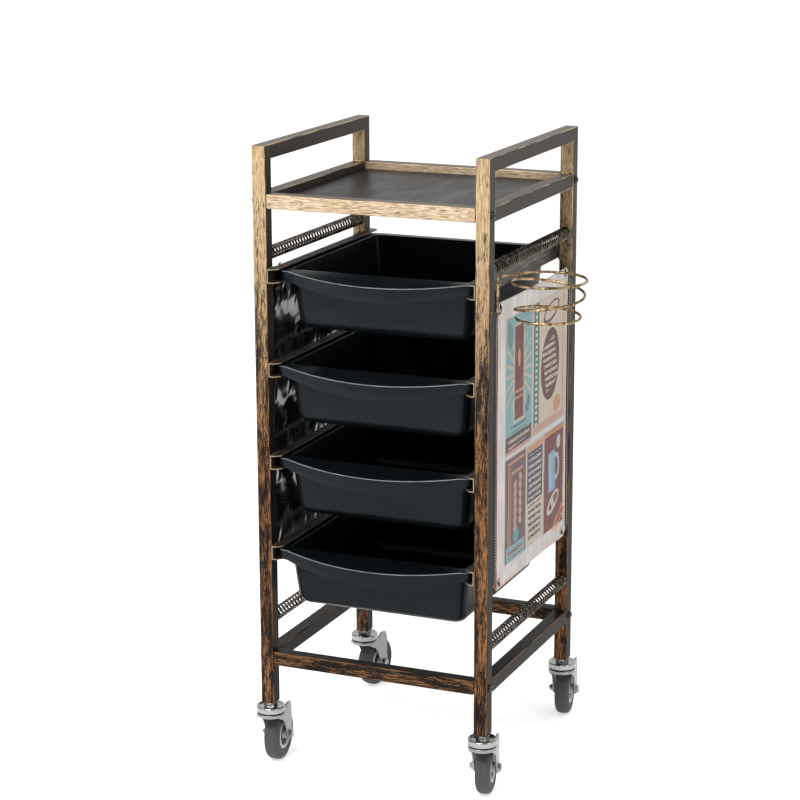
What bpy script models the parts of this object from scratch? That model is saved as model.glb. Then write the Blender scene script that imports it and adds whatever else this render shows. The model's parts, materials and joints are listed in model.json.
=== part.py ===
"""Rolling salon trolley: welded square-tube side frames, bolted crossbars, four sliding
drawers, a sheet tray, coil-spring tool holders, laced side panels, a swinging hair dryer
ring and four swivel casters.

Run it with: blender --background --python part.py
Metres, +Z up, +X to the trolley's right, -Y to the front where the drawers open.
The frame is modelled about its own centre line and hung on one empty, which is placed so
that the world origin is the bottom centre of the whole trolley.
"""
import math

import bmesh
import bpy
from mathutils import Matrix, Vector

# ---- driving dimensions ------------------------------------------------------------------
HEIGHT = 0.900              # floor to the top of the hand rails
WIDTH = 0.346               # over the posts, X
DEPTH = 0.350               # over the posts, Y
TUBE = 0.020                # square tube of the frame
TUBE_WALL = 0.0016
TUBE_EDGE = 0.0014          # rounding of the tube's edges
POST_FOOT = 0.098           # underside of the posts
TRAY_RAIL_TOP = 0.834
BASE_RAIL_TOP = 0.177
GAP = 0.0003                # between pieces that touch

BOLT_HOLE_R = 0.0033
BOLT_SHANK_R = 0.0030
BOLT_LENGTH = 0.034
BOLT_HEAD_R = 0.0055
BOLT_HEAD_H = 0.0032
END_PLUG = 0.005            # welded nut plate in each end of a crossbar

TRAY_RECESS = 0.0105        # tray sheet below the rail tops
TRAY_SHEET = 0.0012
TRAY_FLANGE = 0.008

DRAWERS = 4
RUNNER_TOP = 0.731          # top of the highest pair of runners
RUNNER_PITCH = 0.132
RUNNER_HEIGHT = 0.020
RUNNER_LIP = 0.015
RUNNER_SHEET = 0.0015
RUNNER_CHAMFER = 0.006

RIM_DROP = 0.0043           # drawer rim below the runner's top
RIM_WIDTH = 0.016
DRAWER_HALF = 0.1335        # half the width of the drawer's mouth
DRAWER_FRONT = -0.1405      # front wall at the mouth, drawer pushed in
DRAWER_REAR = 0.151
DRAWER_DEEP = 0.083
DRAWER_WALL = 0.0022
DRAWER_DRAFT = 0.007        # how far each wall leans in over its height
DRAWER_CORNER = 0.014
SKIRT = 0.0138              # turned-down edge that rides on the runner
LIP_REACH = 0.0175          # front lip in front of the wall at its ends
LIP_BOW = 0.0205            # and how much further at the middle
LIP_FALL = 0.009            # lip edge below the rim at the middle
LIP_SKIRT_EXTRA = 0.016     # lower edge of the lip at the middle, below the skirt's
LIP_CORNER = 0.0195         # rounding of the rim's corners in plan
PULLED_OUT = (0.0, 0.010, 0.010, 0.015)
RIB_DOWN = 0.040            # divider ribs start this far below the rim
RIB_PROUD = 0.0035
RIB_HALF = 0.0007           # half a rib's thickness
RIB_APART = 0.0022          # each rib of a pair from the middle of the drawer

SPRING_R = 0.0095
SPRING_WIRE = 0.0024
SPRING_UPPER_Z = 0.748
SPRING_LOWER_Z = 0.223

PANEL_X = 0.171             # middle of the sheet's thickness, from the centre line
PANEL_SHEET = 0.0012
PANEL_WIDTH = 0.300
PANEL_BOTTOM = 0.298
PANEL_TOP = 0.702

RING_WIRE = 0.0020          # radius
ROD_OUT = 0.008             # rod's axis outside the post
ROD_BOTTOM = 0.6866
ARM_Z = 0.7445
EYE_Z = (0.7340, 0.6941)    # lugs that hold the rod
EYE_R = 0.0046
EYE_HOLE_R = 0.0024
EYE_H = 0.0040
RING_OFFSET = (0.068, 0.009)
RING_TURNS = 2.95
RING_R = 0.0505             # upper turns, then narrowing by the taper for each turn
RING_R_LEAST = 0.0425
RING_TAPER = 0.0060
RING_ELBOW = 0.004          # bend between the rod and the arm
RING_LEVELS = ((0.0, 0.0), (1.0, -0.0048), (2.0, -0.0435), (2.5, -0.0520), (3.0, -0.0530))

STEM_R = 0.0050
STEM_TOP = 0.128
CUP_R = 0.0210
CUP_TOP = 0.0930
CUP_BOTTOM = 0.0840
CUP_FACE = 0.0895           # flat that the nut bears on
CUP_FACE_R = 0.0115
CUP_DISH_R = 0.0170
CUP_DISH_Z = 0.0915
CUP_BEND = 0.001            # small chamfers of the turned caster pieces
PIN_FOOT_R = 0.0090         # riveted foot of the king pin, under the fork's plate
PIN_FOOT_Z = 0.0735
NUT_FLATS = 0.017
FORK_PLATE_TOP = 0.0830
FORK_PLATE_BOTTOM = 0.0770
FORK_PLATE_R = 0.0205
CHEEK_IN = 0.0148
CHEEK_SHEET = 0.0027
TRAIL = 0.030
WHEEL_R = 0.038
TYRE_W = 0.022
HUB_R = 0.0225
HUB_BOSS_R = 0.0075
HUB_DISH = 0.004            # dished faces of the hub inside the tyre's sides
HUB_LIP = 0.003
TYRE_SHOULDER = 0.004
AXLE_R = 0.0030
AXLE_HEX_R = 0.0058
AXLE_HEAD = 0.0042
AXLE_NUT = 0.0046
AXLE_END = 0.0018           # thread beyond the nut
CHEEK_FOOT_R = 0.0085
CHEEK_FRONT = ((-0.0125, 0.0830), (-0.0125, 0.0770), (-0.0040, 0.0740), (0.0075, 0.0660),
               (0.0160, 0.0550), (0.0205, 0.0440))       # (back, up) points of the fork's cheek
CHEEK_BACK = ((0.0395, 0.0520), (0.0385, 0.0820), (0.0340, 0.0890), (0.0200, 0.0905),
              (0.0170, 0.0830))
CASTER_YAW = {"front_left": 6.0, "front_right": 11.0, "rear_left": -8.0, "rear_right": 10.0}

# The ring reaches out to the right and the casters trail to the back, so the frame's
# centre line stands off the middle of the whole.
CENTRE = Vector((-0.05546, -0.01244, 0.0))

HALF_W = WIDTH / 2
HALF_D = DEPTH / 2
POST_X = HALF_W - TUBE / 2
POST_Y = HALF_D - TUBE / 2
INNER_X = HALF_W - TUBE
INNER_Y = HALF_D - TUBE
SIDES = {"left": -1, "right": 1}
ENDS = {"front": -1, "rear": 1}


# ---- scene, collections, materials -------------------------------------------------------
def clear_scene():
    for item in list(bpy.data.objects):
        bpy.data.objects.remove(item, do_unlink=True)


def collection(name):
    group = bpy.data.collections.new(name)
    bpy.context.scene.collection.children.link(group)
    return group


clear_scene()
PARTS = collection("rolling_salon_trolley")
CUTTERS = collection("cutters")
TROLLEY = bpy.data.objects.new("trolley_centre", None)
TROLLEY.location = CENTRE
PARTS.objects.link(TROLLEY)


def material(name, colour, roughness, metallic):
    mat = bpy.data.materials.new(name)
    mat.use_nodes = True
    shader = mat.node_tree.nodes["Principled BSDF"]
    shader.inputs["Base Color"].default_value = (*colour, 1.0)
    shader.inputs["Roughness"].default_value = roughness
    shader.inputs["Metallic"].default_value = metallic
    return mat


BRONZE = material("antique_bronze", (0.20, 0.15, 0.10), 0.45, 0.8)
BLACK_SHEET = material("black_sheet", (0.03, 0.03, 0.03), 0.4, 0.2)
BLACK_PLASTIC = material("black_plastic", (0.02, 0.023, 0.027), 0.35, 0.0)
BLACK_STEEL = material("black_steel", (0.03, 0.03, 0.03), 0.35, 0.9)
SPRING_STEEL = material("spring_steel", (0.09, 0.07, 0.05), 0.35, 0.9)
BRASS_WIRE = material("brass_wire", (0.38, 0.30, 0.16), 0.35, 0.9)
PRINTED_SHEET = material("printed_sheet", (0.55, 0.45, 0.38), 0.5, 0.0)
ZINC = material("zinc", (0.62, 0.62, 0.60), 0.25, 1.0)
RUBBER = material("grey_rubber", (0.07, 0.075, 0.08), 0.7, 0.0)
HUB_PLASTIC = material("hub_plastic", (0.55, 0.55, 0.54), 0.45, 0.0)


# ---- modelling helpers -------------------------------------------------------------------
def add_object(name, mesh, parent=TROLLEY, mat=None, group=PARTS):
    item = bpy.data.objects.new(name, mesh)
    item.parent = parent
    group.objects.link(item)
    if mat:
        mesh.materials.append(mat)
    return item


def mesh_from(bm, name):
    mesh = bpy.data.meshes.new(name)
    bm.to_mesh(mesh)
    bm.free()
    return mesh


def box_mesh(name, low, high):
    """A cuboid between two corners."""
    low, high = Vector(low), Vector(high)
    bm = bmesh.new()
    bmesh.ops.create_cube(bm, size=1.0)
    bmesh.ops.scale(bm, vec=high - low, verts=bm.verts)
    bmesh.ops.translate(bm, vec=(low + high) / 2, verts=bm.verts)
    return mesh_from(bm, name)


def rod_mesh(name, radius, start, end, sides=16, spin=0.0):
    """A cylinder, or with few sides a prism, between two points on a row axis."""
    start, end = Vector(start), Vector(end)
    run = end - start
    turn = Vector((0, 0, 1)).rotation_difference(run).to_matrix().to_4x4()
    place = Matrix.Translation((start + end) / 2) @ turn @ Matrix.Rotation(spin, 4, "Z")
    bm = bmesh.new()
    bmesh.ops.create_cone(bm, cap_ends=True, segments=sides, radius1=radius, radius2=radius,
                          depth=run.length, matrix=place)
    return mesh_from(bm, name)


def turned_mesh(name, profile, steps):
    """A solid turned about Z from (radius, z) points, listed outer side top to bottom."""
    bm = bmesh.new()
    verts = [bm.verts.new((radius, 0.0, z)) for radius, z in profile]
    for first, second in zip(verts, verts[1:]):
        bm.edges.new((first, second))
    item = bpy.data.objects.new(name, mesh_from(bm, name))
    PARTS.objects.link(item)
    screw = item.modifiers.new("turn", "SCREW")
    screw.axis = "Z"
    screw.steps = steps
    screw.render_steps = steps
    screw.use_merge_vertices = True
    screw.merge_threshold = 0.00001
    mesh = applied_mesh(item)
    bpy.data.objects.remove(item)
    return mesh


def applied_mesh(item):
    """The object's evaluated mesh, its seams welded."""
    graph = bpy.context.evaluated_depsgraph_get()
    mesh = bpy.data.meshes.new_from_object(item.evaluated_get(graph))
    bm = bmesh.new()
    bm.from_mesh(mesh)
    bmesh.ops.remove_doubles(bm, verts=bm.verts, dist=0.00001)
    bm.to_mesh(mesh)
    bm.free()
    return mesh


def cutter(name, mesh, parent=TROLLEY):
    tool = add_object(name, mesh, parent, None, CUTTERS)
    tool.hide_render = True
    tool.display_type = "WIRE"
    return tool


def boolean(item, tool, operation):
    step = item.modifiers.new(tool.name, "BOOLEAN")
    step.operation = operation
    step.solver = "EXACT"
    step.object = tool


def cut(item, name, mesh):
    boolean(item, cutter(name, mesh, item.parent), "DIFFERENCE")


def join(item, name, mesh):
    boolean(item, cutter(name, mesh, item.parent), "UNION")


def round_edges(item, width, segments=1, angle=40.0):
    bevel = item.modifiers.new("rounded_edges", "BEVEL")
    bevel.width = width
    bevel.segments = segments
    bevel.limit_method = "ANGLE"
    bevel.angle_limit = math.radians(angle)
    bevel.use_clamp_overlap = True


def smooth(item):
    item.data.shade_smooth()
    item.data.set_sharp_from_angle(angle=math.radians(35.0))


def span(low, high):
    """Two values in rising order."""
    return (low, high) if low < high else (high, low)


# ---- frame -------------------------------------------------------------------------------
def window_boxes(wall):
    """The three openings of a side frame, grown by the tube's wall for the inner cut."""
    y_edge = INNER_Y - wall
    yield "hand", (-y_edge, TRAY_RAIL_TOP - wall), (y_edge, HEIGHT - TUBE + wall)
    yield "middle", (-y_edge, BASE_RAIL_TOP - wall), (y_edge, TRAY_RAIL_TOP - TUBE + wall)
    yield "foot", (-y_edge, POST_FOOT - TUBE), (y_edge, BASE_RAIL_TOP - TUBE + wall)


def framework(name, side, inset):
    """Posts and three rails as one body: the outside at inset 0, the hollow at the wall."""
    x_low, x_high = span(side * (INNER_X + inset), side * (HALF_W - inset))
    block = box_mesh(name, (x_low, -HALF_D + inset, POST_FOOT + inset),
                     (x_high, HALF_D - inset, HEIGHT - inset))
    if inset:
        item = cutter(name, block)
    else:
        item = add_object(name, block, TROLLEY, BRONZE)
    for label, low, high in window_boxes(-inset):
        window = box_mesh(f"{name}_{label}", (x_low - TUBE, *low), (x_high + TUBE, *high))
        cut(item, f"{name}_{label}", window)
    return item


def side_frame(side_name):
    side = SIDES[side_name]
    name = f"{side_name}_side_frame"
    frame = framework(name, side, 0.0)
    round_edges(frame, TUBE_EDGE)
    boolean(frame, framework(f"{name}_hollow", side, TUBE_WALL), "DIFFERENCE")
    for end_name, end in ENDS.items():
        for level_name, top in (("tray", TRAY_RAIL_TOP), ("base", BASE_RAIL_TOP)):
            z = top - TUBE / 2
            hole = rod_mesh("hole", BOLT_HOLE_R, (side * (INNER_X - TUBE), end * POST_Y, z),
                            (side * (HALF_W + TUBE), end * POST_Y, z))
            cut(frame, f"{name}_{level_name}_{end_name}_hole", hole)
        stem_hole = rod_mesh("hole", STEM_R + GAP, (side * POST_X, end * POST_Y, POST_FOOT - TUBE),
                             (side * POST_X, end * POST_Y, POST_FOOT + TUBE / 2))
        cut(frame, f"{name}_{end_name}_stem_hole", stem_hole)
    if side_name == "right":
        for number, z in enumerate(EYE_Z, 1):
            add_eye(frame, number, z)


def add_eye(frame, number, z):
    """A welded eye on the outside of the front post, for the ring holder's rod."""
    rod_x = HALF_W + ROD_OUT
    eye = rod_mesh("eye", EYE_R, (rod_x, -POST_Y, z - EYE_H / 2), (rod_x, -POST_Y, z + EYE_H / 2))
    root = box_mesh("root", (HALF_W - TUBE_WALL / 2, -POST_Y - EYE_H / 2, z - EYE_H / 2.2),
                    (rod_x - EYE_HOLE_R - GAP, -POST_Y + EYE_H / 2, z + EYE_H / 2.2))
    bore = rod_mesh("bore", EYE_HOLE_R, (rod_x, -POST_Y, z - EYE_H), (rod_x, -POST_Y, z + EYE_H))
    join(frame, f"rod_eye_{number}_root", root)
    join(frame, f"rod_eye_{number}", eye)
    cut(frame, f"rod_eye_{number}_bore", bore)


def crossbar(name, end, top):
    """A square tube between the side frames, plugged at both ends for the bolts."""
    length = INNER_X - GAP
    y_low, y_high = end * POST_Y - TUBE / 2, end * POST_Y + TUBE / 2
    bar = add_object(name, box_mesh(name, (-length, y_low, top - TUBE), (length, y_high, top)),
                     TROLLEY, BRONZE)
    round_edges(bar, TUBE_EDGE)
    hollow = box_mesh("hollow", (-length + END_PLUG, y_low + TUBE_WALL, top - TUBE + TUBE_WALL),
                      (length - END_PLUG, y_high - TUBE_WALL, top - TUBE_WALL))
    cut(bar, f"{name}_hollow", hollow)
    centre = (end * POST_Y, top - TUBE / 2)
    cut(bar, f"{name}_bore", rod_mesh("bore", BOLT_HOLE_R, (-WIDTH, *centre), (WIDTH, *centre)))


def frame_bolt(name, side, end, top):
    """Button-head bolt through the post into the crossbar's end plug."""
    y, z = end * POST_Y, top - TUBE / 2
    face = HALF_W + GAP
    profile = [(0.0, BOLT_HEAD_H), (BOLT_HEAD_R * 0.55, BOLT_HEAD_H * 0.85),
               (BOLT_HEAD_R * 0.9, BOLT_HEAD_H * 0.45), (BOLT_HEAD_R, 0.0),
               (BOLT_SHANK_R, 0.0), (BOLT_SHANK_R, -BOLT_LENGTH), (0.0, -BOLT_LENGTH)]
    bolt = add_object(name, turned_mesh(name, profile, 12), TROLLEY, BLACK_STEEL)
    bolt.location = (side * face, y, z)
    bolt.rotation_euler = (0.0, side * math.pi / 2, 0.0)
    smooth(bolt)


def tray():
    """Folded sheet between the tray rails, its flanges turned down."""
    x, y = INNER_X - GAP, INNER_Y - GAP
    top = TRAY_RAIL_TOP - TRAY_RECESS
    bottom = top - TRAY_FLANGE
    pan = add_object("tray_pan", box_mesh("tray_pan", (-x, -y, bottom), (x, y, top)),
                     TROLLEY, BLACK_SHEET)
    inside = box_mesh("inside", (-x + TRAY_SHEET, -y + TRAY_SHEET, bottom - TRAY_SHEET),
                      (x - TRAY_SHEET, y - TRAY_SHEET, top - TRAY_SHEET))
    cut(pan, "tray_pan_inside", inside)


# ---- runners and drawers -----------------------------------------------------------------
def runner(name, side, top):
    """C-channel fixed to the inside of the posts, open towards the drawer."""
    outer, inner = INNER_X - GAP, INNER_X - GAP - RUNNER_LIP
    x_low, x_high = span(side * outer, side * inner)
    rail = add_object(name, box_mesh(name, (x_low, -HALF_D, top - RUNNER_HEIGHT),
                                     (x_high, HALF_D, top)), TROLLEY, BRONZE)
    c_low, c_high = span(side * (outer - RUNNER_SHEET), side * (inner - RUNNER_LIP))
    channel = box_mesh("channel", (c_low, -DEPTH, top - RUNNER_HEIGHT + RUNNER_SHEET),
                       (c_high, DEPTH, top - RUNNER_SHEET))
    cut(rail, f"{name}_channel", channel)
    corner = box_mesh("corner", (-RUNNER_CHAMFER, -RUNNER_CHAMFER, -RUNNER_HEIGHT),
                      (RUNNER_CHAMFER, RUNNER_CHAMFER, RUNNER_HEIGHT))
    for end_name, end in ENDS.items():
        tool = cutter(f"{name}_{end_name}_corner", corner)
        tool.location = (side * inner, end * HALF_D, top - RUNNER_HEIGHT / 2)
        tool.rotation_euler = (0.0, 0.0, math.radians(45.0))
        boolean(rail, tool, "DIFFERENCE")


def drawer_outline(half, front, rear, corner, bow):
    """Points round a drawer, anticlockwise from the front's left end, with how far each is
    along the bow: 1 at the middle of the front, 0 at its ends and everywhere else."""
    end = half - corner
    points = []
    front_steps = 12
    for step in range(front_steps + 1):
        x = -end + 2 * end * step / front_steps
        share = 1.0 - (x / end) ** 2
        points.append((x, front - bow * share, share))
    corner_steps = 4
    for x_sign, y, turn in ((1, front, -90.0), (1, rear, 0.0), (-1, rear, 90.0), (-1, front, 180.0)):
        cx = x_sign * end
        cy = y + corner if y == front else y - corner
        for step in range(corner_steps + 1):
            angle = math.radians(turn + 90.0 * step / corner_steps)
            at_front_end = y == front and (step == 0 if x_sign > 0 else step == corner_steps)
            if not at_front_end:
                points.append((cx + corner * math.cos(angle), cy + corner * math.sin(angle), 0.0))
    return points


def drawer_rings():
    """The sections of the drawer's upper surface, from the skirt's edge to the floor."""
    rim_out = DRAWER_HALF + RIM_WIDTH
    lip = drawer_outline(rim_out, DRAWER_FRONT - LIP_REACH, DRAWER_REAR + RIM_WIDTH,
                         LIP_CORNER, LIP_BOW)
    yield [(x, y, -SKIRT - LIP_SKIRT_EXTRA * share) for x, y, share in lip]
    yield [(x, y, -LIP_FALL * share) for x, y, share in lip]
    wall_foot = DRAWER_DEEP - DRAWER_CORNER
    for depth, inset in ((0.0, 0.0), (wall_foot, DRAWER_DRAFT),
                         (DRAWER_DEEP - DRAWER_CORNER * 0.3, DRAWER_DRAFT + DRAWER_CORNER * 0.3),
                         (DRAWER_DEEP, DRAWER_DRAFT + DRAWER_CORNER)):
        ring = drawer_outline(DRAWER_HALF - inset, DRAWER_FRONT + inset, DRAWER_REAR - inset,
                              DRAWER_CORNER, 0.0)
        yield [(x, y, -depth) for x, y, _ in ring]


def drawer_mesh():
    """Upper surface of the drawer lofted through its rings, rim at z = 0."""
    bm = bmesh.new()
    rings = [[bm.verts.new(point) for point in ring] for ring in drawer_rings()]
    for outer, inner in zip(rings, rings[1:]):
        for index in range(len(outer)):
            after = (index + 1) % len(outer)
            bm.faces.new((outer[index], outer[after], inner[after], inner[index]))
    bm.faces.new(rings[-1])
    return mesh_from(bm, "drawer")


def divider_ribs():
    """Two pairs of ribs, inside the front and rear walls, that take a divider."""
    low, high = -(DRAWER_DEEP - DRAWER_CORNER), -RIB_DOWN
    lean = math.atan2(DRAWER_DRAFT, DRAWER_DEEP - DRAWER_CORNER)
    for wall_name, y, way in (("front", DRAWER_FRONT, 1), ("rear", DRAWER_REAR, -1)):
        y_low, y_high = span(-way * DRAWER_WALL / 2, way * RIB_PROUD)
        for rib_name, x in (("a", -RIB_APART), ("b", RIB_APART)):
            rib = box_mesh("rib", (x - RIB_HALF, y_low, low), (x + RIB_HALF, y_high, high))
            rib.transform(Matrix.Translation((0, y, 0)) @ Matrix.Rotation(way * lean, 4, "X"))
            yield f"{wall_name}_{rib_name}", rib


def drawer(number):
    name = f"drawer_{number}"
    rim = RUNNER_TOP - RUNNER_PITCH * (number - 1) - RIM_DROP
    tub = add_object(name, drawer_mesh(), TROLLEY, BLACK_PLASTIC)
    tub.location = (0.0, -PULLED_OUT[number - 1], rim)
    shell = tub.modifiers.new("wall", "SOLIDIFY")
    shell.thickness = DRAWER_WALL
    shell.offset = -1.0
    for label, rib_mesh in divider_ribs():
        rib = cutter(f"{name}_rib_{label}", rib_mesh)
        rib.location = tub.location
        boolean(tub, rib, "UNION")
    smooth(tub)


# ---- springs, panels, ring ---------------------------------------------------------------
def spring(name, side, z):
    """Coil-spring tool holder between the posts, as the tube that its coils fill."""
    half = INNER_Y - GAP
    inner = SPRING_R - SPRING_WIRE
    sleeve = add_object(name, rod_mesh(name, SPRING_R, (side * POST_X, -half, z),
                                       (side * POST_X, half, z), 12), TROLLEY, SPRING_STEEL)
    cut(sleeve, f"{name}_inside", rod_mesh("inside", inner, (side * POST_X, -DEPTH, z),
                                           (side * POST_X, DEPTH, z), 12))


def panel(name, side):
    x_low, x_high = span(side * (PANEL_X - PANEL_SHEET / 2), side * (PANEL_X + PANEL_SHEET / 2))
    add_object(name, box_mesh(name, (x_low, -PANEL_WIDTH / 2, PANEL_BOTTOM),
                              (x_high, PANEL_WIDTH / 2, PANEL_TOP)), TROLLEY, PRINTED_SHEET)


def ring_height(turn):
    """Height of the ring's wire under the arm: a level turn, a steep one, a level one."""
    for (start, low), (end, high) in zip(RING_LEVELS, RING_LEVELS[1:]):
        if turn <= end:
            return low + (high - low) * (turn - start) / (end - start)
    return RING_LEVELS[-1][1]


def ring_radius(turn):
    return RING_R if turn < 1.0 else max(RING_R_LEAST, RING_R - RING_TAPER * (turn - 1.0))


def ring_points():
    """The wire's centre line from the rod's foot: up the rod, out along the arm, round."""
    points = [Vector((0, 0, ROD_BOTTOM - ARM_Z)), Vector((0, 0, -RING_ELBOW))]
    for step in (1, 2, 3):
        angle = math.radians(90.0 * step / 3)
        points.append(Vector((1 - math.cos(angle), 0, math.sin(angle) - 1)) * RING_ELBOW)
    centre = Vector((*RING_OFFSET, 0.0))
    points_per_turn = 16
    for step in range(1, int(RING_TURNS * points_per_turn) + 1):
        turn = step / points_per_turn
        angle = math.pi - math.tau * turn
        around = Vector((math.cos(angle), math.sin(angle), 0.0)) * ring_radius(turn)
        points.append(centre + around + Vector((0, 0, ring_height(turn))))
    return points


def dryer_ring():
    curve = bpy.data.curves.new("dryer_ring", "CURVE")
    curve.dimensions = "3D"
    curve.bevel_depth = RING_WIRE
    curve.bevel_resolution = 2
    curve.use_fill_caps = True
    points = ring_points()
    wire = curve.splines.new("POLY")
    wire.points.add(len(points) - 1)
    for spot, point in zip(wire.points, points):
        spot.co = (*point, 1.0)
    curve.materials.append(BRASS_WIRE)
    ring = bpy.data.objects.new("dryer_ring", curve)
    ring.parent = TROLLEY
    ring.location = (HALF_W + ROD_OUT, -POST_Y, ARM_Z)
    PARTS.objects.link(ring)


# ---- casters -----------------------------------------------------------------------------
def swivel_cup_profile():
    """Stem, upper ball race and riveted foot of the king pin, outer side top to bottom."""
    return [(0.0, STEM_TOP), (STEM_R - CUP_BEND, STEM_TOP), (STEM_R, STEM_TOP - CUP_BEND),
            (STEM_R, CUP_FACE), (CUP_FACE_R, CUP_FACE), (CUP_DISH_R, CUP_DISH_Z),
            (CUP_R - 1.5 * CUP_BEND, CUP_TOP), (CUP_R, CUP_TOP - 2 * CUP_BEND),
            (CUP_R, CUP_BOTTOM + CUP_BEND), (CUP_R - CUP_BEND, CUP_BOTTOM),
            (STEM_R, CUP_BOTTOM), (STEM_R, FORK_PLATE_BOTTOM - GAP),
            (PIN_FOOT_R, FORK_PLATE_BOTTOM - GAP), (PIN_FOOT_R - CUP_BEND, PIN_FOOT_Z),
            (0.0, PIN_FOOT_Z)]


def cheek_outline():
    """Side of the fork in the (back, up) plane of the swivelled caster: a hooked plate from
    the swivel plate down to the axle, its foot rounded about the axle."""
    foot = []
    for step in range(7):
        angle = math.radians(195.0 + 165.0 * step / 6)
        foot.append((TRAIL + CHEEK_FOOT_R * math.cos(angle), WHEEL_R + CHEEK_FOOT_R * math.sin(angle)))
    return [*CHEEK_FRONT, *foot, *CHEEK_BACK]


def cheek_mesh(side):
    """One cheek as a flat outline with thickness."""
    curve = bpy.data.curves.new("cheek", "CURVE")
    curve.dimensions = "2D"
    curve.fill_mode = "BOTH"
    curve.extrude = CHEEK_SHEET / 2
    outline = curve.splines.new("POLY")
    points = cheek_outline()
    outline.points.add(len(points) - 1)
    for spot, (back, up) in zip(outline.points, points):
        spot.co = (back, up, 0.0, 1.0)
    outline.use_cyclic_u = True
    flat = bpy.data.objects.new("cheek", curve)
    PARTS.objects.link(flat)
    mesh = applied_mesh(flat)
    bpy.data.objects.remove(flat)
    upright = Matrix(((0, 0, 1, side * (CHEEK_IN + CHEEK_SHEET / 2)), (1, 0, 0, 0),
                      (0, 1, 0, 0), (0, 0, 0, 1)))
    mesh.transform(upright)
    return mesh


def fork(name, pivot):
    """Pressed fork: round swivel plate, two cheeks and a bridge behind the plate."""
    bore_r = STEM_R + 2 * GAP
    profile = [(bore_r, FORK_PLATE_TOP), (FORK_PLATE_R - CUP_BEND, FORK_PLATE_TOP),
               (FORK_PLATE_R, FORK_PLATE_TOP - CUP_BEND), (FORK_PLATE_R, FORK_PLATE_BOTTOM + CUP_BEND),
               (FORK_PLATE_R - CUP_BEND, FORK_PLATE_BOTTOM), (bore_r, FORK_PLATE_BOTTOM),
               (bore_r, FORK_PLATE_TOP)]
    item = add_object(name, turned_mesh(name, profile, 18), pivot, ZINC)
    for side_name, side in SIDES.items():
        join(item, f"{name}_{side_name}_cheek", cheek_mesh(side))
    bore = rod_mesh("bore", AXLE_R + GAP, (-CUP_R, TRAIL, WHEEL_R), (CUP_R, TRAIL, WHEEL_R), 12)
    cut(item, f"{name}_axle_bore", bore)
    smooth(item)


def axle(name, pivot):
    """Axle bolt across the fork, with its hexagon head on the right and lock nut on the left."""
    outer = CHEEK_IN + CHEEK_SHEET + GAP
    shank = rod_mesh(name, AXLE_R, (-outer - AXLE_NUT - AXLE_END, TRAIL, WHEEL_R),
                     (outer + GAP, TRAIL, WHEEL_R), 12)
    item = add_object(name, shank, pivot, ZINC)
    join(item, f"{name}_head", rod_mesh("head", AXLE_HEX_R, (outer, TRAIL, WHEEL_R),
                                        (outer + AXLE_HEAD, TRAIL, WHEEL_R), 6, 0.3))
    join(item, f"{name}_nut", rod_mesh("nut", AXLE_HEX_R, (-outer - AXLE_NUT, TRAIL, WHEEL_R),
                                       (-outer, TRAIL, WHEEL_R), 6, 0.8))


def hub_profile():
    """Wheel centre: bore, bosses, dished faces and the rim that the tyre sits on."""
    bore, boss = AXLE_R + GAP, CHEEK_IN - 2 * GAP
    dish, rim = TYRE_W / 2 - HUB_DISH, TYRE_W / 2 - CUP_BEND / 2
    lip_r = HUB_R - HUB_LIP
    web_in, web_out = HUB_BOSS_R + CUP_BEND, lip_r - 2 * CUP_BEND
    return [(bore, boss), (HUB_BOSS_R, boss), (web_in, dish), (web_out, dish), (lip_r, rim),
            (HUB_R, rim), (HUB_R, -rim), (lip_r, -rim), (web_out, -dish), (web_in, -dish),
            (HUB_BOSS_R, -boss), (bore, -boss), (bore, boss)]


def tyre_profile():
    """Rubber ring with rounded shoulders; a flat tread that the wheel stands on."""
    inner, half, shoulder = HUB_R + GAP, TYRE_W / 2, TYRE_SHOULDER
    return [(inner, half - 0.001), (inner + 0.003, half), (WHEEL_R - shoulder, half),
            (WHEEL_R - shoulder * 0.3, half - shoulder * 0.3), (WHEEL_R, half - shoulder),
            (WHEEL_R, shoulder - half), (WHEEL_R - shoulder * 0.3, shoulder * 0.3 - half),
            (WHEEL_R - shoulder, -half), (inner + 0.003, -half), (inner, 0.001 - half),
            (inner, half - 0.001)]


def wheel_piece(name, profile, steps, pivot, mat):
    """A turned piece laid along the axle, one of its facets square to the floor."""
    item = add_object(name, turned_mesh(name, profile, steps), pivot, mat)
    item.location = (0.0, TRAIL, WHEEL_R)
    item.rotation_euler = (0.0, math.pi / 2, 0.0)
    smooth(item)


def caster(corner, side, end):
    pivot = bpy.data.objects.new(f"caster_{corner}_swivel", None)
    pivot.parent = TROLLEY
    pivot.location = (side * POST_X, end * POST_Y, 0.0)
    pivot.rotation_euler = (0.0, 0.0, math.radians(CASTER_YAW[corner]))
    PARTS.objects.link(pivot)
    cup = add_object(f"caster_{corner}_swivel_cup",
                     turned_mesh("cup", swivel_cup_profile(), 18), TROLLEY, ZINC)
    cup.location = pivot.location
    smooth(cup)
    nut_low, nut_high = CUP_FACE + GAP, POST_FOOT - GAP
    nut_r = NUT_FLATS / math.sqrt(3.0)
    nut = add_object(f"caster_{corner}_lock_nut",
                     rod_mesh("nut", nut_r, (0, 0, nut_low), (0, 0, nut_high), 6), TROLLEY, ZINC)
    nut.location = pivot.location
    bore = cutter(f"caster_{corner}_nut_bore",
                  rod_mesh("bore", STEM_R + GAP, (0, 0, 0), (0, 0, STEM_TOP), 16))
    bore.location = pivot.location
    boolean(nut, bore, "DIFFERENCE")
    fork(f"caster_{corner}_fork", pivot)
    axle(f"caster_{corner}_axle_bolt", pivot)
    wheel_piece(f"caster_{corner}_hub", hub_profile(), 16, pivot, HUB_PLASTIC)
    wheel_piece(f"caster_{corner}_tyre", tyre_profile(), 24, pivot, RUBBER)


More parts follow.
